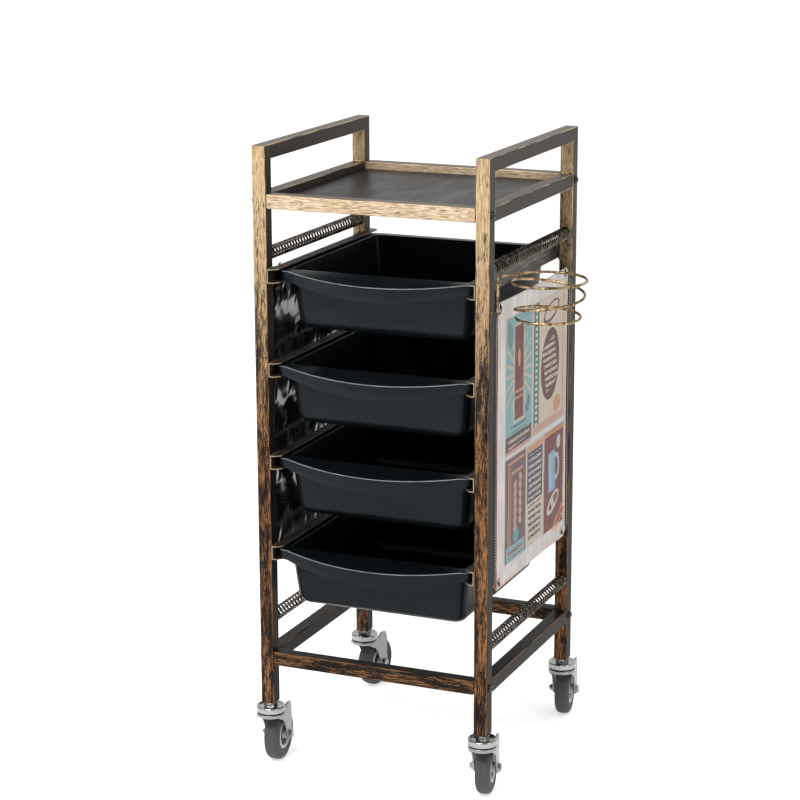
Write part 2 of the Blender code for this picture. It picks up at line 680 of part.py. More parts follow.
# ---- assembly ----------------------------------------------------------------------------
def build():
    for side_name in SIDES:
        side_frame(side_name)
    for end_name, end in ENDS.items():
        for level, top in (("tray", TRAY_RAIL_TOP), ("base", BASE_RAIL_TOP)):
            crossbar(f"{level}_{end_name}_crossbar", end, top)
            for side_name, side in SIDES.items():
                frame_bolt(f"bolt_{level}_{end_name}_{side_name}", side, end, top)
    tray()
    for number in range(1, DRAWERS + 1):
        top = RUNNER_TOP - RUNNER_PITCH * (number - 1)
        for side_name, side in SIDES.items():
            runner(f"runner_{number}_{side_name}", side, top)
        drawer(number)
    for side_name, side in SIDES.items():
        spring(f"spring_upper_{side_name}", side, SPRING_UPPER_Z)
        spring(f"spring_lower_{side_name}", side, SPRING_LOWER_Z)
        panel(f"side_panel_{side_name}", side)
    dryer_ring()
    for end_name, end in ENDS.items():
        for side_name, side in SIDES.items():
            caster(f"{end_name}_{side_name}", side, end)


build()
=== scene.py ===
"""Looks of the rolling salon trolley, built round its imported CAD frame.

Every length is in metres. Pieces are modelled about the trolley's own centre line and then
shifted to the frame's place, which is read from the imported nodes.
"""
import json
import math
import random

import bmesh
import bpy
from mathutils import Matrix, Quaternion, Vector, noise


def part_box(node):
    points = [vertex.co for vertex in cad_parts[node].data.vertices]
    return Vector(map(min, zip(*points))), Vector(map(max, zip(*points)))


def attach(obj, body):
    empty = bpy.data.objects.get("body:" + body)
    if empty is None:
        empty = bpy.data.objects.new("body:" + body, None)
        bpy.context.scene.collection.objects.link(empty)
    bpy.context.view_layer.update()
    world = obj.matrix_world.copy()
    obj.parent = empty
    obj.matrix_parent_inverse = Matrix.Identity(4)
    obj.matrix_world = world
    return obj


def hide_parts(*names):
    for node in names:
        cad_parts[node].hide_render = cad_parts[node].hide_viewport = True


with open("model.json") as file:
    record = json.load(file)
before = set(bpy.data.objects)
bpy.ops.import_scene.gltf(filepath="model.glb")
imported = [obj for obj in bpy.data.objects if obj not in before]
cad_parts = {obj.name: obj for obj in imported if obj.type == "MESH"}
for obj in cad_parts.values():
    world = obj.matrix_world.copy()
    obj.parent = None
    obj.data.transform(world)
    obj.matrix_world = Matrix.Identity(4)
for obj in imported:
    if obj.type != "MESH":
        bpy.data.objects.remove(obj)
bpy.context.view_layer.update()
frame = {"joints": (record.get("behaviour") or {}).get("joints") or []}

# ---- measures read from the frame --------------------------------------------------------
LEFT_LOW, LEFT_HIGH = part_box("left_side_frame")
TRAY_BAR_LOW, TRAY_BAR_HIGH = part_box("tray_front_crossbar")
CENTRE = Vector(((TRAY_BAR_LOW.x + TRAY_BAR_HIGH.x) / 2, (LEFT_LOW.y + LEFT_HIGH.y) / 2, 0.0))
TUBE = LEFT_HIGH.x - LEFT_LOW.x
HALF_W = CENTRE.x - LEFT_LOW.x
HALF_D = (LEFT_HIGH.y - LEFT_LOW.y) / 2
HEIGHT = LEFT_HIGH.z
POST_FOOT = LEFT_LOW.z
TRAY_RAIL_TOP = TRAY_BAR_HIGH.z
BASE_RAIL_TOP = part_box("base_front_crossbar")[1].z
POST_X, POST_Y = HALF_W - TUBE / 2, HALF_D - TUBE / 2
INNER_X, INNER_Y = HALF_W - TUBE, HALF_D - TUBE
RAIL_TOPS = {"tray": TRAY_RAIL_TOP, "base": BASE_RAIL_TOP}
SIDES = {"left": -1, "right": 1}
ENDS = {"front": -1, "rear": 1}
DRAWERS = 4
ROOT = "trolley"
UP = Vector((0.0, 0.0, 1.0))

TUBE_EDGE = 0.0016          # rounding of the square tube's edges
TUBE_WALL = 0.0016
HOLLOW_DEPTH = 0.006        # of a post's open foot
BEAD_HALF = 0.0082          # half the length of the weld across a tube
SEAM = 0.00045              # dark line where two tubes meet
GAP = 0.0003


# ---- node helper -------------------------------------------------------------------------
class Paint:
    """One material's nodes. Each step returns the socket that it makes."""

    def __init__(self, name, colour=(0.8, 0.8, 0.8), **values):
        self.mat = bpy.data.materials.new(name)
        self.mat.use_nodes = True
        self.tree = self.mat.node_tree
        self.shader = self.tree.nodes["Principled BSDF"]
        self.set("Base Color", (*colour, 1.0))
        for key, value in values.items():
            self.set(key.replace("_", " "), value)

    def set(self, key, value):
        self.feed(self.shader.inputs[key], value)

    def feed(self, socket, value):
        if isinstance(value, bpy.types.NodeSocket):
            self.tree.links.new(value, socket)
        else:
            socket.default_value = value

    def add(self, kind, inputs=None, out=0, **settings):
        node = self.tree.nodes.new(kind)
        for key, value in settings.items():
            setattr(node, key, value)
        for key, value in (inputs or {}).items():
            self.feed(node.inputs[key], value)
        return node.outputs[out]

    def place(self):
        """The spot on the trolley, in metres."""
        return self.add("ShaderNodeTexCoord", out="Object")

    def facing(self):
        return self.add("ShaderNodeTexCoord", out="Normal")

    def split(self, vector):
        node = self.tree.nodes.new("ShaderNodeSeparateXYZ")
        self.feed(node.inputs[0], vector)
        return tuple(node.outputs)

    def faces(self):
        """How squarely each spot faces Y and Z, and 1 where it is a rounded edge."""
        size = self.add("ShaderNodeVectorMath", {0: self.facing()}, operation="ABSOLUTE")
        nx, ny, nz = self.split(size)
        most = self.math("MAXIMUM", self.math("MAXIMUM", nx, ny), nz)
        return ny, nz, self.ramp(most, 0.99, 0.90)

    def stretch(self, vector, scale, shift=(0, 0, 0)):
        return self.add("ShaderNodeMapping", {"Vector": vector, "Scale": scale, "Location": shift})

    def noise(self, vector, scale, detail=2.0, rough=0.55):
        return self.add("ShaderNodeTexNoise", {"Vector": vector, "Scale": scale, "Detail": detail,
                                               "Roughness": rough})

    def math(self, operation, first, second=0.0):
        return self.add("ShaderNodeMath", {0: first, 1: second}, operation=operation)

    def plus(self, first, second):
        return self.math("ADD", first, second)

    def minus(self, first, second):
        return self.math("SUBTRACT", first, second)

    def times(self, first, second):
        return self.math("MULTIPLY", first, second)

    def ramp(self, value, low, high, to_low=0.0, to_high=1.0):
        """value from low to high, eased into to_low to to_high."""
        return self.add("ShaderNodeMapRange", {"Value": value, "From Min": low, "From Max": high,
                                               "To Min": to_low, "To Max": to_high},
                        interpolation_type="SMOOTHSTEP")

    def mix(self, share, first, second):
        first = first if isinstance(first, bpy.types.NodeSocket) else (*first, 1.0)
        second = second if isinstance(second, bpy.types.NodeSocket) else (*second, 1.0)
        return self.add("ShaderNodeMix", {0: share, 6: first, 7: second}, out=2, data_type="RGBA")

    def bump(self, height, strength, distance):
        self.set("Normal", self.add("ShaderNodeBump", {"Height": height, "Strength": strength,
                                                       "Distance": distance}))

    def in_box(self, place, centre, half, turn=0.0):
        """1 inside a rectangle of the (x, y) plane, 0 outside."""
        local = self.local(place, centre, half, turn)
        size = self.add("ShaderNodeVectorMath", {0: local}, operation="ABSOLUTE")
        across, up, _ = self.split(size)
        return self.math("LESS_THAN", self.math("MAXIMUM", across, up), 1.0)

    def in_oval(self, place, centre, half, turn=0.0):
        """1 inside an ellipse of the (x, y) plane, 0 outside."""
        local = self.local(place, centre, half, turn)
        length = self.add("ShaderNodeVectorMath", {0: local}, out="Value", operation="LENGTH")
        return self.math("LESS_THAN", length, 1.0)

    def local(self, place, centre, half, turn):
        """Coordinates that run from -1 to 1 over a turned rectangle."""
        return self.add("ShaderNodeMapping", {"Vector": place, "Location": (*centre, 0.0),
                                              "Rotation": (0.0, 0.0, turn),
                                              "Scale": (*half, 1.0)}, vector_type="TEXTURE")


# ---- materials ---------------------------------------------------------------------------
ACROSS_AND_ALONG = {"x": (0.06, 1.0, 1.0), "y": (1.0, 0.06, 1.0), "z": (1.0, 1.0, 0.06)}
COARSE_ALONG = 0.16         # the broad brush marks are shorter than the fine grain


def bronze(name, along, gold=1.0, gilding=(0.52, 0.385, 0.225)):
    """Black lacquer brushed through with gold on the front and rear faces; the sides stay dark with worn
    copper edges. Every tone is painted brighter towards the top, and darker and more copper lower down, and
    the front faces more gold: partly more brushing there, partly painted light from the lamps above and in
    front."""
    p = Paint(name, Metallic=0.15, Specular_IOR_Level=0.06)
    place = p.place()
    x, _, z = p.split(place)
    ny, nz, edge = p.faces()
    front = p.ramp(ny, 0.55, 0.92)
    # height runs from 0 low on the trolley to 1 high up; every tone mixed by it is painted brighter towards
    # the top, partly painted light from the lamps above
    height = p.ramp(z, 0.44, 0.88)
    grain = p.stretch(place, ACROSS_AND_ALONG[along])
    coarse_scale = tuple(COARSE_ALONG if value < 1.0 else 1.0 for value in ACROSS_AND_ALONG[along])
    fine = p.noise(grain, 1250.0, 3.0, 0.7)
    coarse = p.noise(p.stretch(place, coarse_scale), 800.0, 4.0, 0.75)
    patches = p.noise(p.stretch(place, coarse_scale, (0.3, 0.1, 0.2)), 110.0, 5.0, 0.7)
    speckle = p.noise(place, 640.0, 3.0, 0.6)
    streak = p.plus(p.times(fine, 0.46), p.times(coarse, 0.30))
    streak = p.plus(streak, p.times(speckle, 0.24))
    # painted light: the front faces are painted more gold towards the top, where the lamps above and in
    # front light them; gold scales it
    lit = p.times(front, p.ramp(z, 0.56, 0.88, 0.10 * gold, 0.66 * gold))
    if along == "z":
        off_axis = p.math("ABSOLUTE", p.minus(p.math("ABSOLUTE", x), POST_X))
        rim = p.ramp(off_axis, TUBE * 0.28, TUBE * 0.48, -0.14, 0.28)
        lit = p.plus(lit, p.times(front, rim))
    lit = p.plus(lit, p.ramp(front, 0.0, 1.0, -0.40, 0.0))
    amount = p.plus(lit, p.times(p.minus(patches, 0.55), 2.6))
    level = p.minus(p.plus(streak, p.times(amount, 0.24)), 0.59)
    brushed = p.ramp(level, -0.060, 0.070)
    gilt = p.mix(height, (0.27, 0.125, 0.048), gilding)
    dusky = p.mix(height, (0.105, 0.052, 0.024), (0.27, 0.185, 0.100))
    gilt = p.mix(p.ramp(fine, 0.40, 0.62), dusky, gilt)
    lacquer = p.mix(height, (0.010, 0.008, 0.007), (0.034, 0.030, 0.027))
    # painted light: the side lacquer is painted lighter towards the top, and the faces that look up are
    # painted lighter still, as painted top light
    lit_side_lacquer = p.mix(height, (0.009, 0.008, 0.007), (0.038, 0.031, 0.026))
    lit_side_lacquer = p.mix(p.ramp(nz, 0.5, 0.9), lit_side_lacquer,
                         p.mix(height, (0.012, 0.010, 0.009), (0.120, 0.102, 0.088)))
    body = p.mix(brushed, p.mix(front, lit_side_lacquer, lacquer), gilt)
    # worn copper edges, partly a painted highlight along the rounded edges, painted paler towards the top
    worn = p.times(edge, p.ramp(p.noise(grain, 300.0, 3.0), 0.40, 0.60))
    edge_highlight = p.mix(height, (0.28, 0.13, 0.055), (0.58, 0.43, 0.26))
    p.set("Base Color", p.mix(p.times(worn, 0.75), body, edge_highlight))
    p.set("Roughness", p.ramp(streak, 0.35, 0.65, 0.50, 0.38))
    p.bump(p.plus(streak, p.times(brushed, 0.3)), 0.35, 0.0005)
    return p.mat


def dark_bronze(name, along):
    """Dark lacquer with a faint grain, its folded edges worn to tan."""
    p = Paint(name, Metallic=0.5)
    place = p.place()
    ny, _, edge = p.faces()
    grain = p.noise(p.stretch(place, ACROSS_AND_ALONG[along]), 500.0, 3.0)
    body = p.mix(p.ramp(grain, 0.35, 0.7), (0.014, 0.012, 0.010), (0.060, 0.047, 0.035))
    ends = p.math("MAXIMUM", edge, p.ramp(ny, 0.8, 0.95))
    p.set("Base Color", p.mix(p.times(ends, 0.75), body, (0.34, 0.25, 0.16)))
    p.set("Roughness", p.ramp(grain, 0.3, 0.7, 0.50, 0.36))
    p.bump(grain, 0.2, 0.0003)
    return p.mat


def speckled(name, scale, detail, colours, roughness, contrast=None, **values):
    """A paint of one noise, which sets its colour and its roughness."""
    p = Paint(name, **values)
    spots = p.noise(p.place(), scale, detail)
    p.set("Base Color", p.mix(p.ramp(spots, *contrast) if contrast else spots, *colours))
    p.set("Roughness", p.ramp(spots, 0.3, 0.7, *roughness))
    return p.mat


def black_sheet():
    """Satin black paint of the tray, with wiping marks."""
    p = Paint("black_sheet", Specular_IOR_Level=0.08)
    place = p.place()
    marks = p.noise(p.stretch(place, (1.0, 0.25, 1.0)), 26.0, 4.0, 0.6)
    grain = p.noise(place, 1500.0, 2.0)
    p.set("Base Color", p.mix(marks, (0.008, 0.0072, 0.0068), (0.020, 0.018, 0.017)))
    p.set("Roughness", p.ramp(marks, 0.3, 0.7, 0.30, 0.42))
    p.bump(grain, 0.12, 0.0002)
    return p.mat


def drawer_plastic(name, tone):
    """Black moulded plastic with a fine grain and a cool sheen, a painted highlight along the lip's edge,
    and painted light set by tone.
    """
    p = Paint(name, Specular_IOR_Level=0.15, Specular_Tint=(0.80, 0.93, 1.0, 1.0))
    place = p.place()
    cloud = p.noise(p.stretch(place, (1.0, 1.0, 2.2)), 16.0, 3.0)
    grain = p.noise(place, 1900.0, 2.0)
    scuff = p.noise(p.stretch(place, (0.12, 1.0, 1.0)), 420.0, 2.0)
    dark = tuple(tone * value for value in (0.0016, 0.0024, 0.0029))
    light = tuple(tone * value for value in (0.0034, 0.0048, 0.0057))
    body = p.mix(cloud, dark, light)
    wear = p.plus(p.times(grain, 0.5), p.times(scuff, 0.5))
    # painted highlight: the rounded top edge of the lip, facing up and forward, is painted pale grey,
    # broken up by the scuffs
    _, ny, nz = p.split(p.facing())
    lip = p.ramp(p.math("MINIMUM", p.times(ny, -1.0), nz), 0.30, 0.66)
    edge_highlight = p.times(lip, p.ramp(scuff, 0.25, 0.60, 0.55, 1.0))
    p.set("Base Color", p.mix(edge_highlight, body, (0.20, 0.22, 0.23)))
    p.set("Roughness", p.ramp(wear, 0.35, 0.65, 0.27, 0.36))
    p.bump(grain, 0.16, 0.0002)
    return p.mat


def wire_metal(name, dark, light, roughness):
    """Lacquered wire, rubbed brighter in patches."""
    p = Paint(name, Metallic=0.85)
    place = p.place()
    patches = p.noise(place, 130.0, 3.0)
    grain = p.noise(place, 1400.0, 2.0)
    p.set("Base Color", p.mix(p.ramp(patches, 0.36, 0.64), dark, light))
    p.set("Roughness", p.ramp(grain, 0.3, 0.7, roughness - 0.06, roughness + 0.08))
    return p.mat


def zinc(name, tone, roughness):
    """Bright zinc plate with a faint spangle."""
    p = Paint(name, Metallic=1.0)
    place = p.place()
    spangle = p.noise(place, 260.0, 3.0)
    grain = p.noise(p.stretch(place, (1.0, 1.0, 0.1)), 1500.0, 2.0)
    dark = tuple(tone * value for value in (0.24, 0.245, 0.24))
    light = tuple(tone * value for value in (0.46, 0.465, 0.45))
    p.set("Base Color", p.mix(spangle, dark, light))
    p.set("Roughness", p.ramp(grain, 0.3, 0.7, roughness, roughness + 0.14))
    p.bump(spangle, 0.08, 0.0003)
    return p.mat


def tyre_rubber():
    """Grey rubber with dust in its grain."""
    p = Paint("tyre_rubber", Specular_IOR_Level=0.35)
    place = p.place()
    dust = p.noise(place, 60.0, 4.0)
    grain = p.noise(place, 1800.0, 2.0)
    p.set("Base Color", p.mix(dust, (0.032, 0.035, 0.038), (0.064, 0.067, 0.070)))
    p.set("Roughness", p.ramp(dust, 0.3, 0.7, 0.62, 0.78))
    p.bump(grain, 0.25, 0.0003)
    return p.mat


def vinyl_black():
    """Glossy coated cloth, the back of the side panels."""
    p = Paint("black_vinyl", Specular_IOR_Level=0.6, Coat_Weight=0.6, Coat_Roughness=0.08)
    place = p.place()
    cloud = p.noise(place, 30.0, 3.0)
    weave = p.noise(place, 1700.0, 1.0)
    p.set("Base Color", p.mix(cloud, (0.007, 0.007, 0.007), (0.020, 0.019, 0.018)))
    p.set("Roughness", p.ramp(cloud, 0.3, 0.7, 0.10, 0.22))
    p.bump(weave, 0.08, 0.0002)
    return p.mat


def plain_cloth(name, dark, light, roughness, scale=900.0):
    """Woven band, thread or elastic of one colour."""
    p = Paint(name, Specular_IOR_Level=0.12)
    weave = p.noise(p.place(), scale, 2.0)
    p.set("Base Color", p.mix(weave, dark, light))
    p.set("Roughness", p.ramp(weave, 0.3, 0.7, roughness - 0.08, roughness + 0.08))
    p.bump(weave, 0.4, 0.0003)
    return p.mat


# ---- the panel's print: a plain collage of tiles, bars, dots and ovals ---------------------
PANEL_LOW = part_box("side_panel_right")[0]
PRINT_MIDDLE, PRINT_HALF = (0.164, 0.2015), (0.122, 0.1745)     # from the panel's lower front corner
DOT_PITCH, MARK_PITCH = 0.0086, 0.0094
CREAM = (0.60, 0.51, 0.41)
TEAL = (0.22, 0.40, 0.42)
MAROON = (0.18, 0.055, 0.060)
PLUM = (0.095, 0.062, 0.072)
NAVY = (0.060, 0.066, 0.12)
TAN = (0.55, 0.30, 0.17)
PINK = (0.55, 0.34, 0.28)
GREEN = (0.10, 0.20, 0.15)
BROWN = (0.14, 0.065, 0.060)
WHITE = (0.62, 0.62, 0.64)
TILES = {"upper_left": (0.0, 0.148, 0.1815, 1.0), "upper_right": (0.148, 1.0, 0.1815, 1.0),
         "lower_left": (0.0, 0.127, 0.0, 0.1815), "lower_middle": (0.127, 0.1995, 0.0, 0.1815),
         "lower_right": (0.1995, 1.0, 0.0, 0.1815)}    # front, rear, foot, top of each part


def tile_shapes(tile):
    """Every shape of one part of the print, from the back forward: kind, centre, half sizes,
    turn, colour. Centres are measured from the panel's lower front corner."""
    yield "box", PRINT_MIDDLE, PRINT_HALF, 0.0, (0.52, 0.46, 0.40)
    yield "box", (0.164, 0.1815), (0.122, 0.0034), 0.0, WHITE
    if tile == "upper_left":        # a banded column on teal rays
        yield "box", (0.096, 0.290), (0.050, 0.084), 0.0, TEAL
        for turn in range(0, 180, 20):
            yield "box", (0.096, 0.292), (0.060, 0.0022), math.radians(turn), (0.50, 0.47, 0.37)
        yield "box", (0.096, 0.1845), (0.052, 0.0225), 0.0, PINK
        yield "box", (0.096, 0.292), (0.021, 0.070), 0.0, (0.52, 0.48, 0.38)
        yield "box", (0.096, 0.292), (0.0172, 0.066), 0.0, MAROON
        yield "oval", (0.096, 0.312), (0.0105, 0.021), 0.0, BROWN
        yield "oval", (0.096, 0.312), (0.0050, 0.013), 0.0, TAN
        yield "marks", (0.096, 0.262), (0.0150, 0.0070), 0.0, TAN
        yield "oval", (0.060, 0.350), (0.010, 0.020), 0.2, (0.14, 0.25, 0.27)
        yield "oval", (0.131, 0.240), (0.007, 0.013), -0.5, (0.10, 0.22, 0.24)
        yield "marks", (0.096, 0.215), (0.030, 0.0050), 0.0, (0.08, 0.15, 0.17)
        yield "box", (0.096, 0.1975), (0.050, 0.0105), 0.0, PLUM
        yield "marks", (0.096, 0.1980), (0.042, 0.0075), 0.06, (0.50, 0.42, 0.36)
    elif tile == "upper_right":     # a dotted column beside ovals on cream
        yield "box", (0.216, 0.281), (0.066, 0.093), 0.0, CREAM
        yield "box", (0.165, 0.281), (0.0110, 0.093), 0.0, GREEN
        yield "dots", (0.165, 0.281), (0.0040, 0.088), 0.0, WHITE
        yield "oval", (0.226, 0.352), (0.034, 0.013), 0.25, BROWN
        yield "oval", (0.226, 0.353), (0.028, 0.0095), 0.25, CREAM
        yield "oval", (0.222, 0.276), (0.038, 0.052), -0.12, BROWN
        yield "marks", (0.222, 0.276), (0.026, 0.034), 0.30, CREAM
        yield "oval", (0.252, 0.212), (0.015, 0.012), 0.3, TAN
        yield "box", (0.216, 0.1925), (0.066, 0.0055), 0.0, PINK
        yield "box", (0.2755, 0.281), (0.0022, 0.088), 0.0, TAN
    elif tile == "lower_left":      # ovals and a line border on plum
        yield "box", (0.085, 0.1015), (0.040, 0.0745), 0.0, (0.16, 0.105, 0.11)
        yield "box", (0.058, 0.104), (0.0018, 0.066), 0.0, TAN
        yield "box", (0.065, 0.104), (0.0011, 0.058), 0.0, TAN
        yield "box", (0.088, 0.168), (0.030, 0.0016), 0.0, TAN
        yield "marks", (0.092, 0.153), (0.022, 0.0060), 0.0, TAN
        for row in range(6):
            for side in (-1, 1):
                spot = (0.094 + 0.010 * side, 0.075 + 0.0125 * row + 0.004 * side)
                yield "oval", spot, (0.0050, 0.0068), 0.5 * side, (0.58, 0.34, 0.22)
        yield "oval", (0.088, 0.060), (0.011, 0.010), 0.0, (0.10, 0.34, 0.38)
        yield "box", (0.085, 0.038), (0.036, 0.0110), 0.0, TEAL
        yield "marks", (0.085, 0.038), (0.028, 0.0070), 0.0, (0.34, 0.07, 0.07)
    elif tile == "lower_middle":    # bars on navy over bars on cream
        yield "box", (0.163, 0.1015), (0.034, 0.0745), 0.0, CREAM
        yield "box", (0.163, 0.170), (0.034, 0.0045), 0.0, TAN
        yield "box", (0.163, 0.128), (0.031, 0.037), 0.0, NAVY
        yield "marks", (0.163, 0.128), (0.026, 0.033), 0.0, (0.52, 0.46, 0.38)
        yield "marks", (0.163, 0.060), (0.026, 0.027), 0.0, (0.07, 0.06, 0.09)
    else:                           # a pale block and arcs on maroon
        yield "box", (0.242, 0.1015), (0.040, 0.0745), 0.0, MAROON
        yield "box", (0.242, 0.172), (0.040, 0.0030), 0.0, (0.55, 0.26, 0.12)
        yield "oval", (0.252, 0.118), (0.014, 0.020), 0.0, (0.50, 0.50, 0.52)
        yield "oval", (0.252, 0.118), (0.009, 0.014), 0.0, MAROON
        yield "box", (0.234, 0.114), (0.014, 0.030), 0.06, (0.24, 0.40, 0.50)
        yield "box", (0.229, 0.114), (0.003, 0.026), 0.06, (0.42, 0.54, 0.58)
        yield "oval", (0.262, 0.152), (0.0080, 0.0100), 0.0, (0.52, 0.50, 0.48)
        yield "oval", (0.240, 0.066), (0.027, 0.0120), 0.45, (0.56, 0.50, 0.46)
        yield "oval", (0.242, 0.067), (0.020, 0.0065), 0.45, MAROON
        yield "oval", (0.238, 0.066), (0.006, 0.0090), 0.45, (0.56, 0.50, 0.46)
        yield "box", (0.262, 0.040), (0.030, 0.0030), 0.6, (0.55, 0.22, 0.08)
        yield "box", (0.271, 0.033), (0.024, 0.0030), 0.6, (0.55, 0.22, 0.08)


def printed_cloth(tile):
    """Coated canvas: an off-white border round the collage, printed a little unevenly."""
    p = Paint(f"printed_canvas_{tile}", Specular_IOR_Level=0.07)
    place = p.place()
    _, y, z = p.split(place)
    across = p.minus(y, PANEL_LOW.y)
    up = p.minus(z, PANEL_LOW.z)
    flat = p.add("ShaderNodeCombineXYZ", {0: across, 1: up, 2: 0.0})
    worn = p.noise(place, 160.0, 3.0)
    grime = p.noise(p.stretch(place, (1.0, 2.6, 0.5)), 22.0, 4.0, 0.6)
    ground = p.mix(p.ramp(grime, 0.35, 0.75), (0.38, 0.355, 0.335), (0.54, 0.515, 0.495))
    streaks = p.noise(p.stretch(place, (1.0, 1.0, 0.5)), 90.0, 3.0)
    pink_edge = p.times(p.ramp(up, 0.0085, 0.004), p.ramp(streaks, 0.45, 0.6))
    colour = p.mix(p.times(pink_edge, 0.6), ground, (0.55, 0.18, 0.16))
    red_strip = p.in_box(flat, (0.0085, 0.2), (0.0052, 0.30))
    colour = p.mix(red_strip, colour, (0.21, 0.014, 0.014))
    broken = p.noise(p.stretch(flat, (0.45, 1.0, 1.0)), 420.0, 2.0)
    for kind, centre, half, turn, tint in tile_shapes(tile):
        inside = (p.in_oval if kind == "oval" else p.in_box)(flat, centre, half, turn)
        if kind in ("dots", "marks"):
            pitch = DOT_PITCH if kind == "dots" else MARK_PITCH
            rows = p.math("GREATER_THAN", p.math("SINE", p.times(up, math.tau / pitch)), -0.1)
            inside = p.times(inside, rows)
        if kind == "marks":
            inside = p.times(inside, p.math("GREATER_THAN", broken, 0.44))
        colour = p.mix(inside, colour, tint)
    faded = p.mix(p.ramp(worn, 0.30, 0.80, 0.0, 0.14), colour, (0.34, 0.31, 0.29))
    printed = p.in_box(flat, PRINT_MIDDLE, PRINT_HALF)
    shade = p.mix(printed, (1.0, 1.0, 1.0), (0.66, 0.655, 0.65))
    p.set("Base Color", p.add("ShaderNodeMix", {0: 1.0, 6: faded, 7: shade}, out=2,
                              data_type="RGBA", blend_type="MULTIPLY"))
    p.set("Roughness", p.ramp(grime, 0.3, 0.7, 0.34, 0.48))
    p.bump(p.noise(place, 1300.0, 2.0), 0.12, 0.0002)
    return p.mat


# ---- mesh helpers ------------------------------------------------------------------------
def local_box(name):
    """A CAD node's box about the trolley's centre line."""
    low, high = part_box(name)
    return low - CENTRE, high - CENTRE


def made_mesh(bm, name, sharp=None):
    """Turns a bmesh into a smooth mesh, with edges over sharp degrees kept crisp."""
    mesh = bpy.data.meshes.new(name)
    bm.to_mesh(mesh)
    bm.free()
    mesh.shade_smooth()
    if sharp:
        mesh.set_sharp_from_angle(angle=math.radians(sharp))
    return mesh


def piece(name, bm, mats, body=ROOT, nodes=(), place=None, even=True, sharp=35.0):
    """Makes an object of a mesh modelled about the trolley's centre line, or in place's own
    frame, and lets it ride on a body."""
    mesh = bm
    if isinstance(bm, bmesh.types.BMesh):
        bmesh.ops.recalc_face_normals(bm, faces=bm.faces)
        mesh = made_mesh(bm, name, sharp)
    mesh.transform(Matrix.Translation(CENTRE) @ (place or Matrix.Identity(4)))
    for mat in mats:
        mesh.materials.append(mat)
    item = bpy.data.objects.new(name, mesh)
    bpy.context.scene.collection.objects.link(item)
    if even:
        weigh = item.modifiers.new("even_normals", "WEIGHTED_NORMAL")
        weigh.keep_sharp = True
    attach(item, body)
    if nodes:
        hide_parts(*nodes)
    return item


def loop(bm, points):
    """One new vertex for each point."""
    return [bm.verts.new(point) for point in points]


def skin(bm, first, second, mat=0):
    """Quads between two loops of the same length."""
    for index in range(len(first)):
        after = (index + 1) % len(first)
        bm.faces.new((first[index], first[after], second[after], second[index])).material_index = mat


def cap(bm, ring, mat=0):
    bm.faces.new(ring).material_index = mat


def skin_all(bm, loops, mat=0, closed=False):
    """Skins a row of loops: the last joins the first, or both ends are capped."""
    for first, second in zip(loops, loops[1:] + (loops[:1] if closed else [])):
        skin(bm, first, second, mat)
    if not closed:
        cap(bm, loops[0], mat)
        cap(bm, loops[-1], mat)


def loft(bm, rings, mat=0, closed=False):
    """A skin through rings of points."""
    skin_all(bm, [loop(bm, ring) for ring in rings], mat, closed)


def circle(radius, z, steps):
    """Points of a level circle; radius may be a function of the angle."""
    points = []
    for step in range(steps):
        angle = math.tau * step / steps
        reach = radius(angle) if callable(radius) else radius
        points.append((reach * math.cos(angle), reach * math.sin(angle), z))
    return points


def arc(start, sweep, steps):
    """Angles in radians from start through sweep, both given in degrees."""
    return [math.radians(start + sweep * step / steps) for step in range(steps + 1)]


def tint_faces(verts, mat):
    """Gives a material to every face at the vertices."""
    for face in {face for vert in verts for face in vert.link_faces}:
        face.material_index = mat


def rounded_square(half_u, half_v, radius, steps=3):
    """A rectangle's points with its corners rounded."""
    points = []
    for su, sv, start in ((1, 1, 0.0), (-1, 1, 90.0), (-1, -1, 180.0), (1, -1, 270.0)):
        for angle in arc(start, 90.0, steps):
            points.append((su * (half_u - radius) + radius * math.cos(angle),
                           sv * (half_v - radius) + radius * math.sin(angle)))
    return points


AXES = {"x": lambda u, v, w: (w, u, v), "y": lambda u, v, w: (u, w, v), "z": lambda u, v, w: (u, v, w)}


def bar(bm, axis, centre, low, high, size=TUBE, edge=TUBE_EDGE, blunt=0.0, mat=0, hollow_low=False):
    """A square tube along an axis. low and high are its ends, as numbers or as functions of
    the place (u, v) across it; blunt rounds its ends."""
    to_world = AXES[axis]
    half = size / 2
    low_end = low if callable(low) else lambda u, v: low
    high_end = high if callable(high) else lambda u, v: high

    def ring(end, inset, back, rounding=edge):
        points = rounded_square(half - inset, half - inset, max(rounding - inset, 0.0002))
        return [to_world(centre[0] + u, centre[1] + v, end(centre[0] + u, centre[1] + v) + back)
                for u, v in points]

    rings = []
    if hollow_low:
        rings.append(ring(low_end, TUBE_WALL, HOLLOW_DEPTH))
        rings.append(ring(low_end, TUBE_WALL, 0.0))
        rings.append(ring(low_end, 0.0009, 0.0))
        rings.append(ring(low_end, 0.0, 0.0022))
    angles = arc(0.0, 90.0, 3) if blunt else [0.0]
    if not hollow_low:
        rings += [ring(low_end, blunt * (1 - math.sin(a)), blunt * (1 - math.cos(a))) for a in angles]
    rings += [ring(high_end, blunt * (1 - math.sin(a)), -blunt * (1 - math.cos(a)))
              for a in reversed(angles)]
    loft(bm, rings, mat)


def block(bm, low, high, mat=0):
    """A plain block, the filler behind the seams of the joints."""
    low, high = Vector(low), Vector(high)
    made = bmesh.ops.create_cube(bm, size=1.0)["verts"]
    bmesh.ops.scale(bm, vec=high - low, verts=made)
    bmesh.ops.translate(bm, vec=(low + high) / 2, verts=made)
    tint_faces(made, mat)


def turned(bm, profile, steps, mat=0, closed=False):
    """Skin of a profile of (radius, z) points turned about Z."""
    loft(bm, [circle(radius, z, steps) for radius, z in profile], mat, closed)


